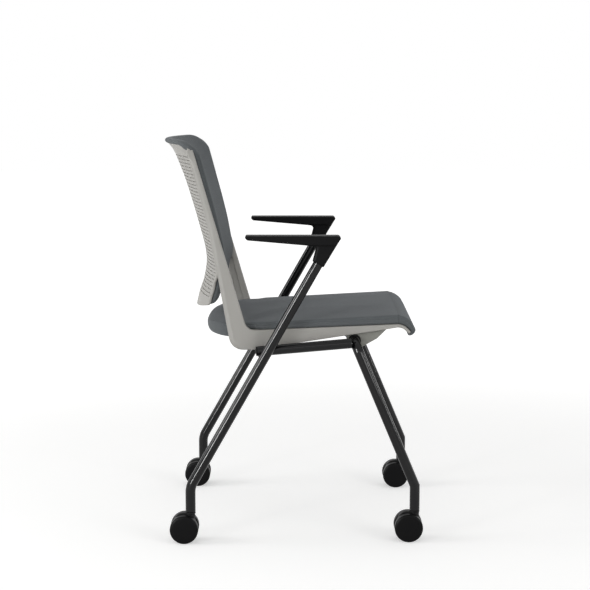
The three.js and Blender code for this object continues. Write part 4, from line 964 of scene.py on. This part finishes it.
class BackShell(bpy.types.Operator):
    """Makes the back's curved sheet with its rows of louvre slots"""

    bl_idname = "chair.back_shell"
    bl_label = "Back shell"

    def execute(self, context):
        sizes = context.scene.chair_sizes
        rows, open_rows = self.rows(sizes)
        columns, bridges = self.columns(sizes)

        def point(i, j, layer):
            z = rows[j]
            half = min(tail_half(z), corner_half(z))
            x = columns[i] / INNER_HALF * half
            height = z + tail_rise(x, z)
            rim = min(i, len(columns) - 1 - i, j, len(rows) - 1 - j)
            thin = SHEET_EDGE if rim == 0 else 0
            depth = (thin, SHEET - thin, sizes.slot_depth)[layer]
            return x, back_rear(x, height) - depth, height

        def is_open(i, j):
            if j not in open_rows or i <= 2 or i >= len(columns) - 4:
                return False
            return bridges.get(i) != open_rows[j]

        made = solid("back_shell_louvred", self.sheet(len(columns), len(rows), point, is_open), sharp=38)
        settle(made, "shell", "shell_plastic", "back_shell")
        return {"FINISHED"}

    def rows(self, sizes):
        """Row heights, and which rows are slots, each with the parity of its bridges."""
        low, high = SLOT_FIELD
        count = round((high - low) / sizes.slot_pitch)
        pitch = (high - low) / count
        rows = [BACK_BOTTOM + share * TAIL_CORNER for share in (0, 0.06, 0.2, 0.45, 0.8)]
        rows += [BACK_BOTTOM + share * (low - BACK_BOTTOM) for share in (0.6, 0.8)]
        open_rows = {}
        for k in range(count):
            open_rows[len(rows)] = k % 2
            rows += [low + k * pitch, low + k * pitch + sizes.slot_height]
        above = (0.95, 0.75, 0.55, 0.36, 0.2, 0.08, 0.02, 0)
        rows += [BACK_TOP - share * (BACK_TOP - high) for share in above]
        return rows, open_rows

    def columns(self, sizes):
        """Column places, and the parity of each cell that is a bridge."""
        field = INNER_HALF - SLOT_MARGIN
        step = sizes.slot_width / 2
        count = 2 * int(field / step)
        columns = [-INNER_HALF, -INNER_HALF + SHEET_RIM, -field]
        bridges = {}
        first = -step * count / 2
        for k in range(count + 1):
            middle = first + k * step
            bridges[len(columns)] = k % 2
            columns += [middle - sizes.slot_bridge / 2, middle + sizes.slot_bridge / 2]
        columns += [field, INNER_HALF - SHEET_RIM, INNER_HALF]
        return columns, bridges

    def sheet(self, wide, tall, point, is_open):
        """Rear and front faces on a grid, closed round the edge, with a sunk floor in each open cell."""
        points = [point(i, j, layer) for layer in (0, 1) for j in range(tall) for i in range(wide)]
        sunk = {}
        faces = []

        def at(i, j, layer):
            if layer < 2:
                return (layer * tall + j) * wide + i
            if (i, j) not in sunk:
                sunk[(i, j)] = len(points)
                points.append(point(i, j, 2))
            return sunk[(i, j)]

        def kind(i, j):
            inside = 0 <= i < wide - 1 and 0 <= j < tall - 1
            return ("open" if is_open(i, j) else "closed") if inside else "outside"

        for j in range(tall - 1):
            for i in range(wide - 1):
                corners = [(i, j), (i + 1, j), (i + 1, j + 1), (i, j + 1)]
                floor = 2 if kind(i, j) == "open" else 0
                faces.append(tuple(at(*c, floor) for c in corners[::-1]))
                faces.append(tuple(at(*c, 1) for c in corners))
                for k, cell in enumerate([(i, j - 1), (i + 1, j), (i, j + 1), (i - 1, j)]):
                    a, b = corners[k], corners[(k + 1) % 4]
                    if kind(*cell) == "outside":
                        faces.append((at(*a, 0), at(*b, 0), at(*b, 1), at(*a, 1)))
                    elif kind(*cell) == "closed" and floor:
                        faces.append((at(*b, 0), at(*a, 0), at(*a, 2), at(*b, 2)))
        return points, faces


class SeatPan(bpy.types.Operator):
    """Makes the ribbed seat pan and the screws that hold it to the side mouldings"""

    bl_idname = "chair.seat_pan"
    bl_label = "Seat pan"

    def execute(self, context):
        line = nose_line(PAN_REAR)
        outline = line + beside(line, -PAN_THICKNESS)[::-1]
        half = INNER_HALF - SEAT_GAP
        parts = [slab(outline, -half, half, PAN_EDGE, 2)]
        for i in range(-2, 3):
            rib = self.strip(TOE[0], PAN_REAR - RIB_INSET, RIB_DEPTH)
            middle = i * RIB_PITCH
            low, high = middle - RIB_THICKNESS / 2, middle + RIB_THICKNESS / 2
            parts.append(slab(rib, low, high, RIB_EDGE, 2))
        flange = self.strip(*FLANGE_SPAN, FLANGE_DEPTH)
        for side, s in SIDES:
            low, high = sorted((s * half, s * (half - RIB_THICKNESS)))
            parts.append(slab(flange, low, high, RIB_EDGE, 2))
        settle(solid("seat_pan_ribbed", *parts), "shell", "under_plastic", "seat_pan")
        for side, s in SIDES:
            for which, y in PAN_SCREWS:
                z = rail_top(y) - PAN_THICKNESS - FLANGE_DEPTH / 2
                head = screw_head((s * (half - RIB_THICKNESS - SEAT_GAP), y, z), (-s, 0, 0))
                made = solid(f"pan_bolt_{side}_{which}", head)
                settle(made, "shell", "bright_steel", f"pan_screw_{side}_{which}")
        return {"FINISHED"}

    def strip(self, front, rear, depth):
        """A rib's outline, from inside the pan's sheet down to its depth."""
        def below(y, down):
            return y, rail_top(y) - PAN_THICKNESS - down

        return [below(rear, -OVERRUN), below(front, -OVERRUN), (*below(front, depth * 0.35), SOFT),
                (*below(front + 2 * depth, depth), FULL), (*below(rear, depth), ROUND)]


def screw_head(base, axis):
    """A cap screw: its shank below base, and a head with a round recess above."""
    return turned(SCREW, base, axis, 24)


class Pivots(bpy.types.Operator):
    """Makes the saddle brackets, clamps, bushes and clamp screws round the front cross tube"""

    bl_idname = "chair.pivots"
    bl_label = "Pivot brackets"

    def execute(self, context):
        hold = TUBE_RADIUS + BRACKET_WALL
        ear = hold + BRACKET_EAR
        root = math.sqrt(0.5)

        def local(a, b):
            """a runs up and back along the split face, b down and back away from the bracket."""
            return PIVOT[0] + (a + b) * root, PIVOT[1] + (a - b) * root

        def half_hole(b_side):
            turns = [math.pi * k / 20 for k in range(21)]
            spin = [(-math.cos(t) * hold, b_side * math.sin(t) * hold) for t in turns]
            return [Vector(local(a, b)) for a, b in spin]

        def under(y):
            return y, rail_top(y) - PAN_THICKNESS - SEAT_GAP

        split = SEAT_GAP / 2
        upper_ear, lower_ear = local(ear, -split), local(-ear, -split)
        body = [upper_ear, under(upper_ear[0]), under(BRACKET_TIP[0]), (*BRACKET_TIP, CRISP),
                (*BRACKET_CHIN, FULL), (*lower_ear, CRISP)]
        body += half_hole(-1)
        foot, top = CLAMP_DRAFT

        def half_cap(end):
            return [local(end * ear, split), (*local(end * ear, CLAMP_FLANGE), CRISP),
                    (*local(end * (hold - foot), CLAMP_FLANGE), ROUND),
                    (*local(end * (hold - top), hold + CLAMP_WALL), FULL)]

        cap = half_cap(-1) + half_cap(1)[::-1] + half_hole(1)[::-1]
        for side, s in SIDES:
            middle = s * (INNER_HALF - BRACKET_IN)
            low, high = middle - BRACKET_HALF, middle + BRACKET_HALF
            bracket = solid(f"saddle_bracket_{side}", slab(body, low, high, BRACKET_EDGE, 3))
            settle(bracket, "shell", "under_plastic", f"pivot_bracket_{side}")
            clamp = solid(f"saddle_clamp_{side}", slab(cap, low, high, CLAMP_EDGE, 3))
            settle(clamp, "shell", "under_plastic", f"pivot_clamp_{side}")
            sleeve = turned(BUSH, (middle - BUSH_HALF, *PIVOT), (1, 0, 0))
            settle(solid(f"bush_sleeve_{side}", sleeve), "shell", "black_nylon", f"pivot_bush_{side}")
            for which, end in (("lower", -1), ("upper", 1)):
                spot = local(end * (hold + BOLT_OUT), CLAMP_FLANGE + SEAT_GAP)
                bolt = screw_head((middle, *spot), (0, root, -root))
                made = solid(f"clamp_bolt_{side}_{which}", bolt)
                settle(made, "shell", "bright_steel", f"clamp_screw_{side}_{which}")
        return {"FINISHED"}


# Cushions

# Each row: how far in from the widest line, in millimetres, and the share of the edge's height
SIDE_BAND = ((2.4, 0), (1.0, 0.06), (0.3, 0.16), (0, 0.28), (0.3, 0.4), (1.0, 0.52), (2.0, 0.6),
             (2.1, 0.655), (1.5, 0.71), (1.9, 0.8), (3.4, 0.9), (6.0, 0.965), (9.5, 1.0))
ROUND_BAND = ((12, 0), (8, 0.03), (4.6, 0.1), (1.9, 0.2), (0.5, 0.33), (0, 0.45), (0.3, 0.56),
              (1.0, 0.67), (2.2, 0.77), (4.0, 0.86), (6.4, 0.93), (9.2, 0.975), (12.5, 1.0))
# The rows of SIDE_BAND between these shares are the seam, drawn for a seam of this depth
SEAM_SHARES = (0.5, 0.75)
SEAM_DRAWN = 2.1 * MM
# An edge lower than this has a flatter side band
FULL_BAND = 12 * MM
TOP_COLUMNS = 48
UNDER_COLUMNS = 24


def pad_section(half, edge, crown, roundness, seam):
    """Points (x, height) of a cushion's section, from its lower right edge round over the top."""
    fit = min(edge / FULL_BAND, 1)
    right = []
    for (in_band, up_band), (in_round, up_round) in zip(SIDE_BAND, ROUND_BAND):
        sink = seam / SEAM_DRAWN if SEAM_SHARES[0] < up_band < SEAM_SHARES[1] else 1
        x = half - mix(in_band * MM * fit * sink, in_round * MM, roundness)
        right.append((x, mix(up_band, up_round, roundness) * edge))
    flat = right[-1][0]
    top = []
    for k in range(1, TOP_COLUMNS):
        share = 1 - 2 * k / TOP_COLUMNS
        top.append((share * flat, edge + crown * (1 - share ** 4) * (1 - 0.15 * share ** 2)))
    left = [(-x, h) for x, h in right[::-1]]
    under = [(right[0][0] * (2 * k / UNDER_COLUMNS - 1), 0) for k in range(1, UNDER_COLUMNS)]
    return right + top + left + under


def pad_mesh(name, stations, placed, seam):
    """A cushion through its stations, each placed in the row frame by placed(station, x, h)."""
    rings = [[placed(station, x, h) for x, h in pad_section(
        station["half"], station["edge"], station["crown"], station["round"], seam)] for station in stations]
    return solid(name, rings_mesh(rings), sharp=180)


def puffed(pad, free):
    """Blows the cover up against its seams with a short cloth simulation, and keeps an even swell."""
    sewn = pad.vertex_groups.new(name="sewn_edge")
    sewn.add([index for index, loose in enumerate(free) if not loose], 1.0, "REPLACE")
    before = [v.co.copy() for v in pad.data.vertices]
    cloth = pad.modifiers.new("cover", "CLOTH")
    cloth.settings.quality = 5
    cloth.settings.mass = 0.25
    cloth.settings.tension_stiffness = 40
    cloth.settings.compression_stiffness = 40
    cloth.settings.shear_stiffness = 12
    cloth.settings.bending_stiffness = 6
    cloth.settings.use_pressure = True
    cloth.settings.uniform_pressure_force = COVER_PRESSURE
    cloth.settings.vertex_group_mass = "sewn_edge"
    cloth.settings.effector_weights.gravity = 0
    cloth.collision_settings.use_collision = False
    cloth.collision_settings.use_self_collision = False
    cloth.point_cache.frame_start = 1
    cloth.point_cache.frame_end = COVER_FRAMES
    for number in range(1, COVER_FRAMES + 1):
        bpy.context.scene.frame_set(number)
    apply_all(pad)
    bpy.context.scene.frame_set(1)
    swell = [v.co - start for v, start in zip(pad.data.vertices, before)]
    linked = [[] for _ in swell]
    for edge in pad.data.edges:
        first, second = edge.vertices
        linked[first].append(second)
        linked[second].append(first)
    for _ in range(COVER_SMOOTHING):
        swell = [sum((swell[m] for m in linked[n]), Vector()) / len(linked[n]) if loose else Vector()
                 for n, loose in enumerate(free)]
    for vertex, start, moved in zip(pad.data.vertices, before, swell):
        vertex.co = start + moved * min(1, COVER_SWELL / max(moved.length, COVER_SWELL / 100))


def subdivided(pad):
    smoother = pad.modifiers.new("cover_smooth", "SUBSURF")
    smoother.levels = 1
    smoother.render_levels = 1
    apply_all(pad)
    pad.data.polygons.foreach_set("use_smooth", [True] * len(pad.data.polygons))


class SeatCushion(bpy.types.Operator):
    """Makes the seat cushion, from its round rear roll to the nose that wraps the shell's lip"""

    bl_idname = "chair.seat_cushion"
    bl_label = "Seat cushion"

    def execute(self, context):
        stations = self.stations()
        pad = pad_mesh("seat_cushion", stations, lambda q, x, h: (
            x, q["y"] - h * math.sin(q["turn"]), q["z"] + h * math.cos(q["turn"])),
            context.scene.chair_sizes.seam_depth)
        count = len(pad.data.vertices) // len(stations)
        top = range(len(SIDE_BAND), len(SIDE_BAND) + TOP_COLUMNS - 1)
        free = [k in top and 1 < ring < len(stations) - 2 and not stations[ring]["held"]
                for ring in range(len(stations)) for k in range(count)]
        puffed(pad, free)
        subdivided(pad)
        settle(pad, "shell", "pad_fabric", "seat_pad")
        return {"FINISHED"}

    def stations(self):
        rows = []

        def row(y, z, turn, edge, half, crown, roundness=0.0):
            rows.append({"y": y, "z": z, "turn": turn, "edge": edge, "half": half, "crown": crown,
                         "round": roundness, "held": turn > 0})

        pad, roll = SEAT_PAD, SEAT_ROLL
        # The rear roll, half an ellipse seen from above, with its rows close together at the end
        for k in range(15):
            share = math.cos(math.pi / 2 * (k + 0.9) / 16)
            y = mix(PAN_REAR, roll["rear"], share)
            half = pad["neck"] * math.sqrt(max(1 - share * share, 0))
            tip = max(0, share - 0.8) / 0.2
            rise = roll["radius"] * (1 - math.sqrt(max(1 - tip * tip, 0)))
            full = (roll["high"] - roll["low"]) * (1 - 0.25 * share * share)
            row(y, roll["low"] + rise, 0, full - 2 * rise, half, pad["crown"] * (1 - share), 1.0)
        # The roll meets the cushion over the pan's rear edge
        step = PAN_REAR + STEP_GAP
        top, low = rail_top(step) + SEAT_GAP + pad["edge"], roll["low"] + roll["lift"]
        neck = (pad["neck"], pad["crown"])
        row(step + roll["lap"], low, 0, top - low, *neck, 0.8)
        row(step + STEP_GAP, rail_top(PAN_REAR) - roll["lap"], 0, pad["edge"] + roll["lap"], *neck, 0.4)
        for k in range(6):
            y = mix(step, pad["step"] + STEP_GAP, k / 5)
            row(y, rail_top(y) + SEAT_GAP, 0, pad["edge"], *neck)
        # Past the uprights the cushion spreads over the rails
        front = RAIL_FRONT[0] + pad["bend"]
        for k in range(SEAT_ROWS):
            share = k / (SEAT_ROWS - 1)
            y = mix(pad["step"] - STEP_GAP, front, share)
            spread = smooth_share(share, -0.01, 0.045)
            half = mix(pad["neck"] + pad["spread"], pad["half"], spread)
            row(y, rail_top(y) + SEAT_GAP, 0, mix(pad["edge"], pad["front"], share), half,
                pad["crown"] * (1 - share ** 6))
        # Over the nose's bend it turns with the shell
        slope = math.atan2(RAIL_FRONT[1] - NOSE[1], RAIL_FRONT[0] - NOSE[0])
        bend = nose_line(PAN_REAR)[1:-1]
        for k, point in enumerate(bend):
            share = (k + 1) / len(bend)
            turn = slope * share
            row(point.x - SEAT_GAP * math.sin(turn), point.y + SEAT_GAP * math.cos(turn), turn,
                mix(pad["front"], pad["nose"], 0.5 * share), pad["half"] - pad["taper"] * share, 0)
        self.hook(row, slope, bend[-1])
        return rows

    def hook(self, row, slope, bend_end):
        """The cover runs down to the lip's tip, turns round it, and ends tucked up behind."""
        pad = SEAT_PAD
        tip = Vector(NOSE)
        lip = beside([Vector((RAIL_REAR[0], rail_top(RAIL_REAR[0]))), Vector(RAIL_FRONT), tip], -LIP)[2]
        for k in range(1, 4):
            spot = bend_end.lerp(tip, k / 4)
            row(spot.x - SEAT_GAP * math.sin(slope), spot.y + SEAT_GAP * math.cos(slope), slope,
                mix(mix(pad["front"], pad["nose"], 0.5), pad["nose"], k / 4), pad["half"] - pad["taper"], 0)
        # The way along the lip's end, the share of a half turn, and the share of the nose's thickness
        knots = ((0, 0, 1), (0, 0.13, 0.98), (0, 0.25, 0.95), (0.25, 0.38, 0.86), (0.5, 0.5, 0.75),
                 (0.75, 0.6, 0.65), (0.9, 0.72, 0.52), (1, 0.86, 0.38), (1, 0.97, 0.24))
        for along, turned_by, thick in knots:
            turn = slope + math.pi * turned_by
            spot = tip.lerp(lip, along)
            row(spot.x - SEAT_GAP * math.sin(turn), spot.y + SEAT_GAP * math.cos(turn), turn,
                pad["nose"] * thick, pad["half"] - pad["taper"] * (1 + turned_by), 0)


# Each row: how far out past the outline, and the height over the shell's front face, in millimetres;
# along the sides the cover turns in under itself, and along the top it rolls over behind the shell
SIDE_WRAP = mm((-9.5, 20.5), (-6.2, 19.9), (-3.7, 18.8), (-2.0, 17.2), (-1.3, 15.4), (-1.5, 14.2),
               (-1.9, 13.4), (-1.4, 12.6), (-0.8, 11.4), (-0.3, 9.6), (0, 7.6), (-0.1, 5.6),
               (-0.4, 3.8), (-0.9, 2.3), (-1.6, 1.1), (-2.4, 0.4), (-3.2, 0.1), (-4, 0),
               (-4.8, 0), (-5.6, 0), (-6.4, 0), (-7.2, 0), (-8, 0), (-8.8, 0))
TOP_WRAP = mm((-14, 20.5), (-10, 20.2), (-6, 19.3), (-2.5, 17.6), (0.5, 15.4), (3, 12.5),
              (5, 9.2), (6.3, 5.7), (6.9, 2), (7, -1.6), (6.6, -4.5), (5.5, -7),
              (3.8, -8.6), (1.5, -9.4), (-0.9, -9.4), (-3, -8.6), (-4, -7.4), (-3.8, -6.5),
              (-2, -6.2), (0.3, -5.9), (0.7, -5), (0.7, -1), (-1, 0), (-5, 0))
PAD_COLUMNS = 44
PAD_ROWS = (6, 46, 11)
PAD_CORNER = (44 * MM, 28 * MM)
# At the top corners the steps behind the shell stand out further, so that they cover its corner
TUCKED_STEPS = range(9, 20)
CORNER_TUCK = 6 * MM


class BackCushion(bpy.types.Operator):
    """Makes the back cushion, hollow like the back, with a thin roll over the top edge"""

    bl_idname = "chair.back_cushion"
    bl_label = "Back cushion"

    def execute(self, context):
        heights = self.heights()
        wide, tall = PAD_COLUMNS + 1, len(heights)
        points = [self.front(2 * i / PAD_COLUMNS - 1, z) for z in heights for i in range(wide)]
        loop = list(range(wide)) + [j * wide + wide - 1 for j in range(1, tall)]
        loop += [(tall - 1) * wide + i for i in range(wide - 2, -1, -1)]
        loop += [j * wide for j in range(tall - 2, 0, -1)]
        faces = self.grid(wide, tall, lambda i, j: j * wide + i)
        edge = [Vector((points[n][0], points[n][2])) for n in loop]
        thick = [self.base(*spot) - points[n][1] for spot, n in zip(edge, loop)]
        outline = [self.outline_point(2 * (n % wide) / PAD_COLUMNS - 1, heights[n // wide]) for n in loop]
        outward = self.outward(outline)
        before = loop
        for k in range(1, len(SIDE_WRAP)):
            side, top = SIDE_WRAP[k], TOP_WRAP[k]
            ring = []
            for spot, normal, full in zip(outline, outward, thick):
                turned_up = smooth_share(normal.y, 0.3, 0.8)
                out = mix(side[0], top[0], turned_up)
                if k in TUCKED_STEPS:
                    out += 4 * CORNER_TUCK * turned_up * (1 - turned_up)
                rise = mix(side[1], top[1], turned_up)
                rise *= full / SIDE_WRAP[0][1] if rise > 0 else 1
                place = spot + normal * out
                ring.append(len(points))
                points.append((place.x, self.base(*place) - rise, place.y))
            faces += zip(before, before[1:] + before[:1], ring[1:] + ring[:1], ring)
            before = ring
        rear = dict(zip(loop, before))
        for j in range(1, tall - 1):
            for i in range(1, wide - 1):
                x, _, z = points[j * wide + i]
                rear[j * wide + i] = len(points)
                points.append((x * 0.98, self.base(x * 0.98, z), z))
        faces += [face[::-1] for face in self.grid(wide, tall, lambda i, j: rear[j * wide + i])]
        pad = solid("back_cushion", (points, faces), sharp=180)
        free = [2 < n % wide < wide - 3 and 2 < n // wide < tall - 4 if n < wide * tall else False
                for n in range(len(points))]
        puffed(pad, free)
        subdivided(pad)
        settle(pad, "shell", "pad_fabric", "back_pad")
        return {"FINISHED"}

    def grid(self, wide, tall, at):
        return [(at(i, j), at(i + 1, j), at(i + 1, j + 1), at(i, j + 1))
                for j in range(tall - 1) for i in range(wide - 1)]

    def heights(self):
        """Row heights, close together in the bottom and top corners."""
        low, high = BACK_PAD["low"], BACK_TOP
        at_foot, between, at_top = PAD_ROWS
        bottom = [low + TAIL_CORNER * (1 - math.cos(math.pi / 2 * k / at_foot)) for k in range(at_foot)]
        bend = high - PAD_CORNER[1]
        middle = [mix(low + TAIL_CORNER, bend, k / between) for k in range(between)]
        top = [mix(bend, high, math.sin(math.pi / 2 * k / at_top)) for k in range(at_top + 1)]
        return bottom + middle + top

    def outline_point(self, across, z):
        """A point of the cushion's outline, or inside it, as (x, height)."""
        half = min(tail_half(z + BACK_BOTTOM - BACK_PAD["low"]), BACK_PAD["half"])
        past = max(z - BACK_TOP + PAD_CORNER[1], 0) / PAD_CORNER[1]
        half -= PAD_CORNER[0] * (1 - math.sqrt(max(1 - past ** 2, 0)))
        x = across * half
        return Vector((x, z + tail_rise(x, z)))

    def outward(self, outline):
        """Directions square to the closed outline, evened out over the corners."""
        count = len(outline)
        normals = []
        for n in range(count):
            run = outline[(n + 1) % count] - outline[n - 1]
            normals.append(Vector((run.y, -run.x)).normalized())
        for _ in range(2):
            normals = [(normals[n - 1] + normals[n] * 2 + normals[(n + 1) % count]).normalized()
                       for n in range(count)]
        return normals

    def base(self, x, z):
        return back_rear(x, z) - SHEET - PAD_CLEARANCE

    def front(self, across, z):
        """A point of the front face, which is drawn in from the outline by the wrap's first step."""
        pad = BACK_PAD
        spot = self.outline_point(across, z)
        share = (z - pad["low"]) / (BACK_TOP - pad["low"])
        drawn = -SIDE_WRAP[0][0]
        spot.x -= across * drawn
        spot.y += mix(drawn, TOP_WRAP[0][0], share) * (2 * share - 1) ** 6
        swell = smooth_share(z, TAIL_HEIGHT, pad["swell"])
        foot = smooth_share(z, pad["low"] - pad["sole"], pad["foot"])
        edge = mix(pad["edge"], pad["top"], swell) * mix(0.62, 1, foot)
        crown = pad["crown"] * (1 - across ** 4) * smooth_share(z, pad["low"], pad["low"] + pad["fade"][0])
        crown *= 1 - smooth_share(z, BACK_TOP - pad["fade"][1], BACK_TOP)
        return spot.x, self.base(*spot) - edge - crown, spot.y


class Studio(bpy.types.Operator):
    """Makes the pale floor, the soft lights and the camera at the photograph's angle"""

    bl_idname = "chair.studio"
    bl_label = "Studio"

    def execute(self, context):
        scene = context.scene
        scene.view_settings.view_transform = "Standard"
        corners = [(x * FLOOR_REACH, y * FLOOR_REACH, 0) for x, y in ((-1, -1), (1, -1), (1, 1), (-1, 1))]
        floor = solid("studio_floor", (corners, [(0, 1, 2, 3)]))
        floor.data.materials.append(studio_floor(tuple(scene.chair_colours.floor)))
        self.world(scene)
        side = (-0.26, 0.1, 0.45)
        # Each lamp: its name, place, aim and size in metres, and its power in watts
        lamps = (("overhead_softbox", (-0.2, 0.1, 2.6), (0, 0, 0.3), (1.6, 1.6), 1.5),
                 ("side_softbox", (-4.4, 0.3, 1.75), side, (2.2, 1.0), 8),
                 ("front_softbox", (-2.8, -2.8, 1.45), (-0.1, 0, 0.5), (1.6, 1.0), 36),
                 ("rear_softbox", (-0.4, 3.6, 1.8), (0, 0.2, 0.6), (1.6, 1.0), 44),
                 ("rear_quarter_softbox", (-2.62, 2.06, 0.98), side, (0.34, 1.3), 13))
        strips = (("rear_highlight_strip", (-2.56, 2, 0.98), side, (0.34, 1.3), 80),
                  ("front_highlight_strip", (-0.3, -3.1, 0.98), (-0.24, -0.2, 0.3), (0.2, 0.9), 14))
        for name, spot, aim, size, power in lamps + strips:
            lamp = bpy.data.lights.new(name, "AREA")
            lamp.shape = "RECTANGLE"
            lamp.size, lamp.size_y = size
            lamp.energy = power
            made = bpy.data.objects.new(name, lamp)
            made.location = spot
            made.rotation_euler = (Vector(aim) - Vector(spot)).to_track_quat("-Z", "Y").to_euler()
            made.visible_diffuse = not name.endswith("strip")
            scene.collection.objects.link(made)
        self.camera(scene)
        return {"FINISHED"}

    def world(self, scene):
        """Even light from all round, and plain white where the camera or a gloss looks past the chair."""
        world = bpy.data.worlds.new("studio_world")
        world.use_nodes = True
        tree = world.node_tree
        tree.nodes.clear()
        strength = add(tree, "ShaderNodeMapRange", inputs={
            "Value": looked_at(tree), "To Min": WORLD_LIGHT, "To Max": 1.0})
        sky = add(tree, "ShaderNodeBackground", inputs={
            "Color": (1, 1, 1, 1), "Strength": strength.outputs["Result"]})
        add(tree, "ShaderNodeOutputWorld", inputs={"Surface": sky.outputs[0]})
        scene.world = world

    def camera(self, scene):
        """The photograph's own camera."""
        lens = bpy.data.cameras.new("photo_camera")
        lens.sensor_width = CAMERA_SENSOR
        lens.lens = CAMERA_LENS
        made = bpy.data.objects.new("photo_camera", lens)
        made.location = CAMERA_PLACE
        pitch = math.radians(CAMERA_PITCH)
        aim = Vector((math.cos(pitch), 0, -math.sin(pitch)))
        made.rotation_euler = aim.to_track_quat("-Z", "Y").to_euler()
        scene.collection.objects.link(made)
        scene.camera = made


class ChairPanel(bpy.types.Panel):
    """Lists the chair's sizes, colours and pieces"""

    bl_idname = "CHAIR_PT_pieces"
    bl_label = "Nesting chair"
    bl_space_type = "VIEW_3D"
    bl_region_type = "UI"
    bl_category = "Chair"

    def draw(self, context):
        layout = self.layout
        for group in (context.scene.chair_sizes, context.scene.chair_colours):
            box = layout.box()
            for key in group.bl_rna.properties.keys():
                if key not in ("rna_type", "name"):
                    box.prop(group, key)
        for operator in OPERATORS:
            layout.operator(operator.bl_idname)


OPERATORS = (LegFrame, Armrests, Casters, SideArms, BackShell, SeatPan, Pivots, SeatCushion, BackCushion,
             Studio)
CLASSES = (ChairSizes, ChairColours, *OPERATORS, ChairPanel)


def register():
    for cls in CLASSES:
        bpy.utils.register_class(cls)
    bpy.types.Scene.chair_sizes = bpy.props.PointerProperty(type=ChairSizes)
    bpy.types.Scene.chair_colours = bpy.props.PointerProperty(type=ChairColours)


def unregister():
    del bpy.types.Scene.chair_colours
    del bpy.types.Scene.chair_sizes
    for cls in reversed(CLASSES):
        bpy.utils.unregister_class(cls)


def main():
    register()
    for operator in OPERATORS:
        section, name = operator.bl_idname.split(".")
        getattr(getattr(bpy.ops, section), name)()


if __name__ == "__main__":
    main()
